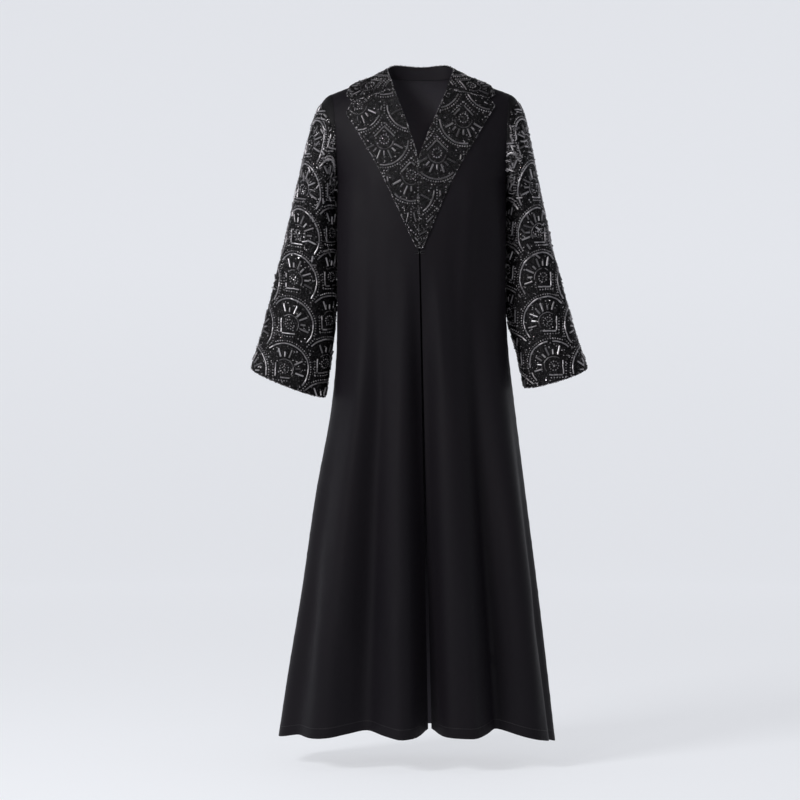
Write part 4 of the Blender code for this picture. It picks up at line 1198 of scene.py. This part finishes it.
def sleeve_chart(side, cloth):
    """Across is measured round from the outer side, up is measured from the cuff."""
    columns = cloth.grid.shape[1]
    half = columns // 2
    grid = np.concatenate([cloth.grid, cloth.grid[:, :1]], axis=1)
    steps = np.linalg.norm(np.diff(grid, axis=1), axis=2)
    round_it = np.concatenate([np.zeros((len(grid), 1)), np.cumsum(steps, axis=1)], axis=1)
    order = list(range(half, columns)) + list(range(0, half + 1))
    across = round_it[:, order]
    across[:, : columns - half] -= round_it[:, -1:]
    up = cloth.down[-1:] - cloth.down
    flat = np.stack([across, up[:, order]], axis=2)
    return Chart(cloth.skin()[:, order], cloth.normals[:, order], flat, True, PLAIN_CAP[side])


def lapel_chart(cloth):
    """A lapel's chart is its front view."""
    return Chart(cloth.skin(), cloth.normals, cloth.grid[..., [0, 2]])


def collar_chart(cloth):
    """Across is measured along the collar from the centre back, up towards the fold."""
    middle = cloth.grid.shape[1] // 2
    along = cloth.across[cloth.grid.shape[0] * 2 // 3]
    along = np.tile(along - along[middle], (cloth.grid.shape[0], 1))
    return Chart(cloth.skin(), cloth.normals, np.stack([along, -cloth.down], axis=2))


def border_lines(cloth, names):
    """Lines along the named edges of a piece, each as points, normals and the ways outwards."""
    grid, normals = cloth.grid, cloth.normals
    lines = {
        "top": (grid[0], normals[0], grid[0] - grid[1]),
        "bottom": (grid[-1], normals[-1], grid[-1] - grid[-2]),
        "first": (grid[:, 0], normals[:, 0], grid[:, 0] - grid[:, 1]),
        "last": (grid[:, -1], normals[:, -1], grid[:, -1] - grid[:, -2]),
    }
    found = []
    for name in names:
        points, normal, out = lines[name]
        if cloth.closed:
            points, normal, out = (np.concatenate([a, a[:1]]) for a in (points, normal, out))
        found.append((points, normal, unit_rows(out)))
    return found


def spaced(pitch, points, *others):
    """The points, and the other vectors that go with them, at even steps along the line."""
    places = np.concatenate([[0.0], np.cumsum(np.linalg.norm(np.diff(points, axis=0), axis=1))])
    marks = np.arange(pitch / 2, places[-1], pitch)
    kinds = (points, *others)
    return [np.stack([np.interp(marks, places, rows[:, k]) for k in range(3)], 1) for rows in kinds]


def sew_edges(name, lines, material, rng):
    """A row of small beads over the raw edges."""
    parts = [spaced(EDGE_PITCH, *line) for line in lines]
    centres, normals, out = (np.concatenate(column) for column in zip(*parts))
    centres = centres + out * rng.uniform(-0.0004, 0.0008, (len(centres), 1))
    centres += normals * rng.uniform(0.0002, 0.0008, (len(centres), 1))
    axes = tilted_axes(out, unit_rows(normals), 0.3, rng)
    sizes = round_sizes(BEAD_RADIUS, 0.9, 1.25, len(centres), rng)
    tones = rng.uniform(0.0, 1.0, len(centres)) ** 2
    bead_mesh(name, dot_shape(), centres, axes, sizes, tones, material)


def sew_stitches(name, lines, material):
    """Short raised stitches along lines, each given as points and normals."""
    parts = [spaced(STITCH_PITCH, points, normals, np.gradient(points, axis=0)) for points, normals in lines]
    centres, normals, along = (np.concatenate(column) for column in zip(*parts))
    first, third = unit_rows(along), unit_rows(normals)
    sizes = np.tile((STITCH_LENGTH, STITCH_RADIUS * 1.5, STITCH_RADIUS), (len(centres), 1))
    centres = centres + third * STITCH_RADIUS * 0.3
    axes = first, unit_rows(np.cross(third, first)), third
    bead_mesh(name, bugle_shape(), centres, axes, sizes, np.zeros(len(centres)), material)


def node_input(node, name, value):
    node.inputs[name].default_value = value
    return node.inputs[name]


def new_material(name, colour, roughness, metallic=0.0):
    """A Principled material; returns it with its tree and shader."""
    material = bpy.data.materials.new(name)
    material.use_nodes = True
    tree = material.node_tree
    shader = tree.nodes["Principled BSDF"]
    node_input(shader, "Base Color", (*colour, 1.0))
    node_input(shader, "Roughness", roughness)
    node_input(shader, "Metallic", metallic)
    return material, tree, shader


def noise(tree, vector, scale, detail=3.0, roughness=0.5):
    node = tree.nodes.new("ShaderNodeTexNoise")
    tree.links.new(vector, node.inputs["Vector"])
    node_input(node, "Scale", scale)
    node_input(node, "Detail", detail)
    node_input(node, "Roughness", roughness)
    return node.outputs["Fac"]


def spread(tree, value, low, high):
    """Maps a value from 0..1 to low..high."""
    node = tree.nodes.new("ShaderNodeMapRange")
    tree.links.new(value, node.inputs["Value"])
    node_input(node, "To Min", low)
    node_input(node, "To Max", high)
    return node.outputs["Result"]


def blend_colours(tree, value, first, second):
    node = tree.nodes.new("ShaderNodeMix")
    node.data_type = "RGBA"
    tree.links.new(value, node.inputs["Factor"])
    for socket, value in zip((node.inputs[6], node.inputs[7]), (first, second)):
        if isinstance(value, tuple):
            socket.default_value = (*value, 1.0)
        else:
            tree.links.new(value, socket)
    return node.outputs[2]


def maths(tree, operation, first, second):
    node = tree.nodes.new("ShaderNodeMath")
    node.operation = operation
    for socket, value in zip(node.inputs, (first, second)):
        if isinstance(value, (int, float)):
            socket.default_value = value
        else:
            tree.links.new(value, socket)
    return node.outputs["Value"]


def weave(tree, pitch):
    """Fine crossing threads in the cloth's own coordinates."""
    uv = tree.nodes.new("ShaderNodeUVMap")
    uv.uv_map = "cloth"
    threads = []
    for direction in ("X", "Y"):
        wave = tree.nodes.new("ShaderNodeTexWave")
        wave.bands_direction = direction
        tree.links.new(uv.outputs["UV"], wave.inputs["Vector"])
        node_input(wave, "Scale", 0.314 / pitch)
        node_input(wave, "Distortion", 1.4)
        node_input(wave, "Detail", 2.0)
        node_input(wave, "Detail Scale", 0.7)
        threads.append(wave.outputs["Fac"])
    return uv.outputs["UV"], maths(tree, "MULTIPLY", threads[0], threads[1])


def bump(tree, height, strength, distance, below=None):
    node = tree.nodes.new("ShaderNodeBump")
    node_input(node, "Strength", strength)
    node_input(node, "Distance", distance)
    tree.links.new(height, node.inputs["Height"])
    if below is not None:
        tree.links.new(below, node.inputs["Normal"])
    return node.outputs["Normal"]


def crepe_material():
    """Dark crepe: a matt twisted thread with a soft sheen, a little uneven. Its inside is paler, partly as a
    matt reverse side and partly as painted light.
    """
    material, tree, shader = new_material("crepe", (0.0080, 0.0068, 0.0090), 0.55)
    uv, threads = weave(tree, 0.0011)
    cloudy = noise(tree, uv, 3.2, 4.0)
    grain = noise(tree, uv, 900.0, 2.0)
    face = blend_colours(tree, cloudy, (0.0078, 0.0060, 0.0080), (0.0058, 0.0052, 0.0072))
    # The paler inside colour below is partly a matt reverse side and partly painted light for the inside of
    # the neck.
    pale = tree.nodes.new("ShaderNodeAttribute")
    pale.attribute_name = "pale"
    colour = blend_colours(tree, pale.outputs["Fac"], face, (0.0400, 0.0365, 0.0440))
    tree.links.new(colour, shader.inputs["Base Color"])
    tree.links.new(spread(tree, noise(tree, uv, 14.0, 4.0), 0.48, 0.64), shader.inputs["Roughness"])
    rough = bump(tree, noise(tree, uv, 60.0, 4.0), 0.25, 0.0010)
    fine = bump(tree, maths(tree, "ADD", threads, maths(tree, "MULTIPLY", grain, 0.6)), 0.30, 0.0003, rough)
    tree.links.new(fine, shader.inputs["Normal"])
    node_input(shader, "Sheen Weight", 0.01)
    node_input(shader, "Sheen Roughness", 0.45)
    node_input(shader, "Sheen Tint", (0.80, 0.74, 0.86, 1.0))
    node_input(shader, "Specular IOR Level", 0.09)
    return material


def ground_material():
    """The cloth under the beads: near black, with sewn-down dimples."""
    material, tree, shader = new_material("beaded_cloth", (0.008, 0.007, 0.009), 0.6)
    uv, threads = weave(tree, 0.0016)
    cloudy = noise(tree, uv, 40.0, 3.0)
    colour = blend_colours(tree, cloudy, (0.0022, 0.0019, 0.0026), (0.0046, 0.0040, 0.0052))
    tree.links.new(colour, shader.inputs["Base Color"])
    tree.links.new(spread(tree, noise(tree, uv, 90.0, 2.0), 0.45, 0.75), shader.inputs["Roughness"])
    dimples = bump(tree, noise(tree, uv, 220.0, 2.0), 0.5, 0.0010)
    tree.links.new(bump(tree, threads, 0.3, 0.0003, dimples), shader.inputs["Normal"])
    node_input(shader, "Specular IOR Level", 0.14)
    return material


# How each kind of bead looks; its colour goes from dark to light with each bead's tone.
BeadLook = namedtuple("BeadLook", "dark light roughness metallic coat")
BEAD_LOOKS = {
    "bugle": BeadLook((0.020, 0.018, 0.021), (0.46, 0.44, 0.46), 0.30, 0.80, 0.15),
    "seed": BeadLook((0.0016, 0.0014, 0.0018), (0.42, 0.40, 0.42), 0.26, 0.80, 0.03),
    "sequin": BeadLook((0.02, 0.018, 0.02), (0.40, 0.39, 0.40), 0.24, 0.9, 0.1),
}


def bead_material(name):
    """Glass or foil beads, slightly uneven."""
    look = BEAD_LOOKS[name]
    material, tree, shader = new_material(name, look.dark, look.roughness, look.metallic)
    tone = tree.nodes.new("ShaderNodeAttribute")
    tone.attribute_name = "tone"
    colour = blend_colours(tree, tone.outputs["Fac"], look.dark, look.light)
    tree.links.new(colour, shader.inputs["Base Color"])
    place = tree.nodes.new("ShaderNodeTexCoord")
    wear = noise(tree, place.outputs["Object"], 700.0, 2.0)
    rough = maths(tree, "ADD", spread(tree, wear, -0.05, 0.10), look.roughness)
    tree.links.new(rough, shader.inputs["Roughness"])
    tree.links.new(bump(tree, wear, 0.15, 0.0004), shader.inputs["Normal"])
    node_input(shader, "Specular IOR Level", 0.25)
    node_input(shader, "Coat Weight", look.coat)
    node_input(shader, "Coat Roughness", 0.08)
    return material


def wire_material():
    """Black lacquered wire, slightly rubbed."""
    material, tree, shader = new_material("wire", (0.03, 0.03, 0.034), 0.35, 0.9)
    place = tree.nodes.new("ShaderNodeTexCoord")
    rubbed = noise(tree, place.outputs["Object"], 420.0, 3.0)
    colour = blend_colours(tree, rubbed, (0.018, 0.018, 0.021), (0.07, 0.068, 0.070))
    tree.links.new(colour, shader.inputs["Base Color"])
    tree.links.new(spread(tree, rubbed, 0.25, 0.5), shader.inputs["Roughness"])
    tree.links.new(bump(tree, rubbed, 0.2, 0.0002), shader.inputs["Normal"])
    return material


def thread_material():
    material, tree, shader = new_material("thread", (0.016, 0.014, 0.017), 0.5)
    place = tree.nodes.new("ShaderNodeTexCoord")
    twist = noise(tree, place.outputs["Object"], 2200.0, 1.0)
    colour = blend_colours(tree, twist, (0.006, 0.005, 0.007), (0.014, 0.012, 0.015))
    tree.links.new(colour, shader.inputs["Base Color"])
    tree.links.new(bump(tree, twist, 0.4, 0.0002), shader.inputs["Normal"])
    return material


def make_cloth(materials, rng):
    """All the pieces of cloth, as grids first and then as meshes."""
    crepe, ground = materials["crepe"], materials["ground"]
    cloths = {}

    def add(name, grid, wall, material, **more):
        cloths[name] = Cloth(f"cloth_{name}", grid, wall, material, **more)

    for side, word in SIDES:
        front, sleeve, right = front_points(side), sleeve_points(side), side == RIGHT
        add(f"front_{word}", front, CREPE_WALL, crepe, flip=right, seams=("top", "last"))
        add(f"sleeve_{word}", sleeve, BEADED_WALL, ground, closed=True, flip=not right, seams=("top",))
    add("back", back_points(), CREPE_WALL, crepe, flip=True, seams=("top", "first", "last"))
    share_seam_normals(list(cloths.values()))
    for side, word in SIDES:
        add(f"lapel_{word}", lapel_points(side), BEADED_WALL, ground, flip=side == RIGHT)
    add("collar", both_sides(collar_column), BEADED_WALL, ground, flip=True)
    stand = both_sides(stand_column)
    # The collar stand is made a little paler than the other crepe: painted light.
    add("collar_stand", stand, CREPE_WALL, crepe, flip=True, pale=(STAND_PAINTED_LIGHT, STAND_PAINTED_LIGHT))
    for name in BODY:
        cloths[name].turn_hem()
        cloths[name].pucker(rng)
    for cloth in cloths.values():
        cloth.open_seams()
    return cloths


# Each piece's cut without turnings: its flat width and length, and its flat area. A sleeve's is all round.
Cut = namedtuple("Cut", "width length area")


# The sweep's own light at each y: behind the garment it is as pale as the photo's background.
SWEEP_GLOW = {"From Min": -3.4, "From Max": -0.6, "To Min": 0.14, "To Max": 0.78}


def make_backdrop():
    """A plain pale floor that sweeps up into a round wall, dimmer on the camera's side."""
    floor_z, radius, bend, top, around = -1.475, 6.8, 1.4, 4.2, 72
    profile = [(0.001, floor_z), (radius - bend, floor_z)]
    for a in np.linspace(0, math.pi / 2, 16)[1:]:
        profile.append((radius - bend + bend * math.sin(a), floor_z + bend * (1 - math.cos(a))))
    profile.append((radius, top))
    turns = np.linspace(0, 2 * math.pi, around, endpoint=False)
    vertices = [(r * math.cos(turn), r * math.sin(turn), z) for r, z in profile for turn in turns]
    faces = []
    for ring in range(0, (len(profile) - 1) * around, around):
        for j in range(around):
            after = (j + 1) % around
            faces.append((ring + j, ring + after, ring + around + after, ring + around + j))
    mesh = make_mesh("sweep", vertices, np.array(faces))
    material, tree, shader = new_material("sweep", (0.30, 0.31, 0.325), 0.9)
    node_input(shader, "Specular IOR Level", 0.1)
    node_input(shader, "Emission Color", (0.755, 0.766, 0.800, 1.0))
    place = tree.nodes.new("ShaderNodeTexCoord")
    parts = tree.nodes.new("ShaderNodeSeparateXYZ")
    tree.links.new(place.outputs["Object"], parts.inputs["Vector"])
    glow = tree.nodes.new("ShaderNodeMapRange")
    tree.links.new(parts.outputs["Y"], glow.inputs["Value"])
    for name, value in SWEEP_GLOW.items():
        node_input(glow, name, value)
    tree.links.new(glow.outputs["Result"], shader.inputs["Emission Strength"])
    mesh.materials.append(material)
    made = bpy.data.objects.new("sweep", mesh)
    bpy.context.scene.collection.objects.link(made)


# Square lamps: spread is in degrees, and sizes in metres.
Lamp = namedtuple("Lamp", "name place target size watts spread")
LAMPS = [
    Lamp("key", (-2.6, -2.6, 1.6), (0, 0, -0.20), 1.2, 130, 180),
    Lamp("fill", (2.4, -4.2, 0.9), (0.0, 0.0, -0.7), 2.0, 7, 180),
    Lamp("top", (0.3, -0.3, 2.4), (0, 0, -0.4), 1.0, 6, 180),
    Lamp("glint_left", (-1.7, -3.9, 0.9), (-0.2, 0, -0.35), 0.30, 16, 180),
    Lamp("glint_front", (0.6, -4.8, 0.5), (0.1, 0, -0.35), 0.30, 9, 180),
    Lamp("glint_right", (2.1, -3.6, 0.6), (0.2, 0, -0.35), 0.30, 3, 180),
    Lamp("neck", (-0.05, -3.4, 0.05), (0, 0, -0.15), 0.12, 0.040, 7),
]


def add_lamp(lamp):
    data = bpy.data.lights.new(lamp.name, "AREA")
    data.shape = "SQUARE"
    data.size = lamp.size
    data.energy = lamp.watts
    data.spread = math.radians(lamp.spread)
    made = bpy.data.objects.new(lamp.name, data)
    bpy.context.scene.collection.objects.link(made)
    made.location = lamp.place
    made.rotation_euler = (Vector(lamp.target) - Vector(lamp.place)).to_track_quat("-Z", "Y").to_euler()


def light_studio():
    """A large soft key from the image's left, weak fill, and small lamps for the glints and the neck."""
    world = bpy.data.worlds.new("studio")
    world.use_nodes = True
    background = world.node_tree.nodes["Background"]
    node_input(background, "Color", (0.86, 0.92, 1.0, 1.0))
    node_input(background, "Strength", 0.055)
    bpy.context.scene.world = world
    for lamp in LAMPS:
        add_lamp(lamp)
    bpy.context.scene.view_settings.view_transform = "Standard"
    bpy.context.scene.view_settings.look = "None"


def place_camera():
    """In front, level with the middle of the photo; 2.145 mm of the garment to a pixel."""
    data = bpy.data.cameras.new("camera")
    data.lens = 115.4
    data.clip_end = 60
    made = bpy.data.objects.new("camera", data)
    bpy.context.scene.collection.objects.link(made)
    made.location = (-0.04397, -5.5, -0.697)
    made.rotation_euler = (math.pi / 2, 0, 0)
    bpy.context.scene.camera = made


def sew_all_beads(cloths, materials, rng):
    """The bead charts and the edge beads of the sleeves, lapels and collar."""
    all_round = ("top", "bottom", "first", "last")
    flat = {"sign": 1, "turn": 0.0, "glints": 0.0, "materials": materials, "rng": rng}
    slanted = flat | {"sign": -1, "turn": SLEEVE_TURN, "glints": 1.0}
    for side, word in SIDES:
        sleeve, lapel = cloths[f"sleeve_{word}"], cloths[f"lapel_{word}"]
        sew_beads(f"sleeve_{word}", sleeve_chart(side, sleeve), SLEEVE_ANCHOR, **slanted)
        sew_beads(f"lapel_{word}", lapel_chart(lapel), LAPEL_ANCHORS[side], **flat)
        sew_edges(f"edge_beads_sleeve_{word}", border_lines(sleeve, ("bottom",)), materials["seed"], rng)
        sew_edges(f"edge_beads_lapel_{word}", border_lines(lapel, all_round), materials["seed"], rng)
    collar = cloths["collar"]
    sew_beads("collar", collar_chart(collar), COLLAR_ANCHOR, **flat)
    sew_edges("edge_beads_collar", border_lines(collar, all_round), materials["seed"], rng)


def sew_hems(cloths, material):
    """The stitches that hold the turned hems, all along their upper edge."""
    hems = []
    for name in BODY:
        cloth = cloths[name]
        row = int(np.argmin(abs(cloth.down[-1, 0] - cloth.down[:, 0] - HEM_TURN)))
        hems.append((cloth.skin()[row], cloth.normals[row]))
    sew_stitches("stitches_hem", hems, material)


def main():
    rng = np.random.default_rng(SEED)
    materials = {name: bead_material(name) for name in BEAD_LOOKS}
    materials |= {"crepe": crepe_material(), "ground": ground_material()}
    materials |= {"thread": thread_material(), "wire": wire_material()}
    cloths = make_cloth(materials, rng)
    for node, cloth in cloths.items():
        made = cloth.build(node, "crepe" if cloth.material is materials["crepe"] else "beaded_cloth")
    sew_all_beads(cloths, materials, rng)
    sew_hems(cloths, materials["thread"])
    for name in ("hook", "eye"):
        node = frame["nodes"][name]
        node.data.materials.clear()
        node.data.materials.append(materials["wire"])
    make_backdrop()
    light_studio()
    place_camera()


main()
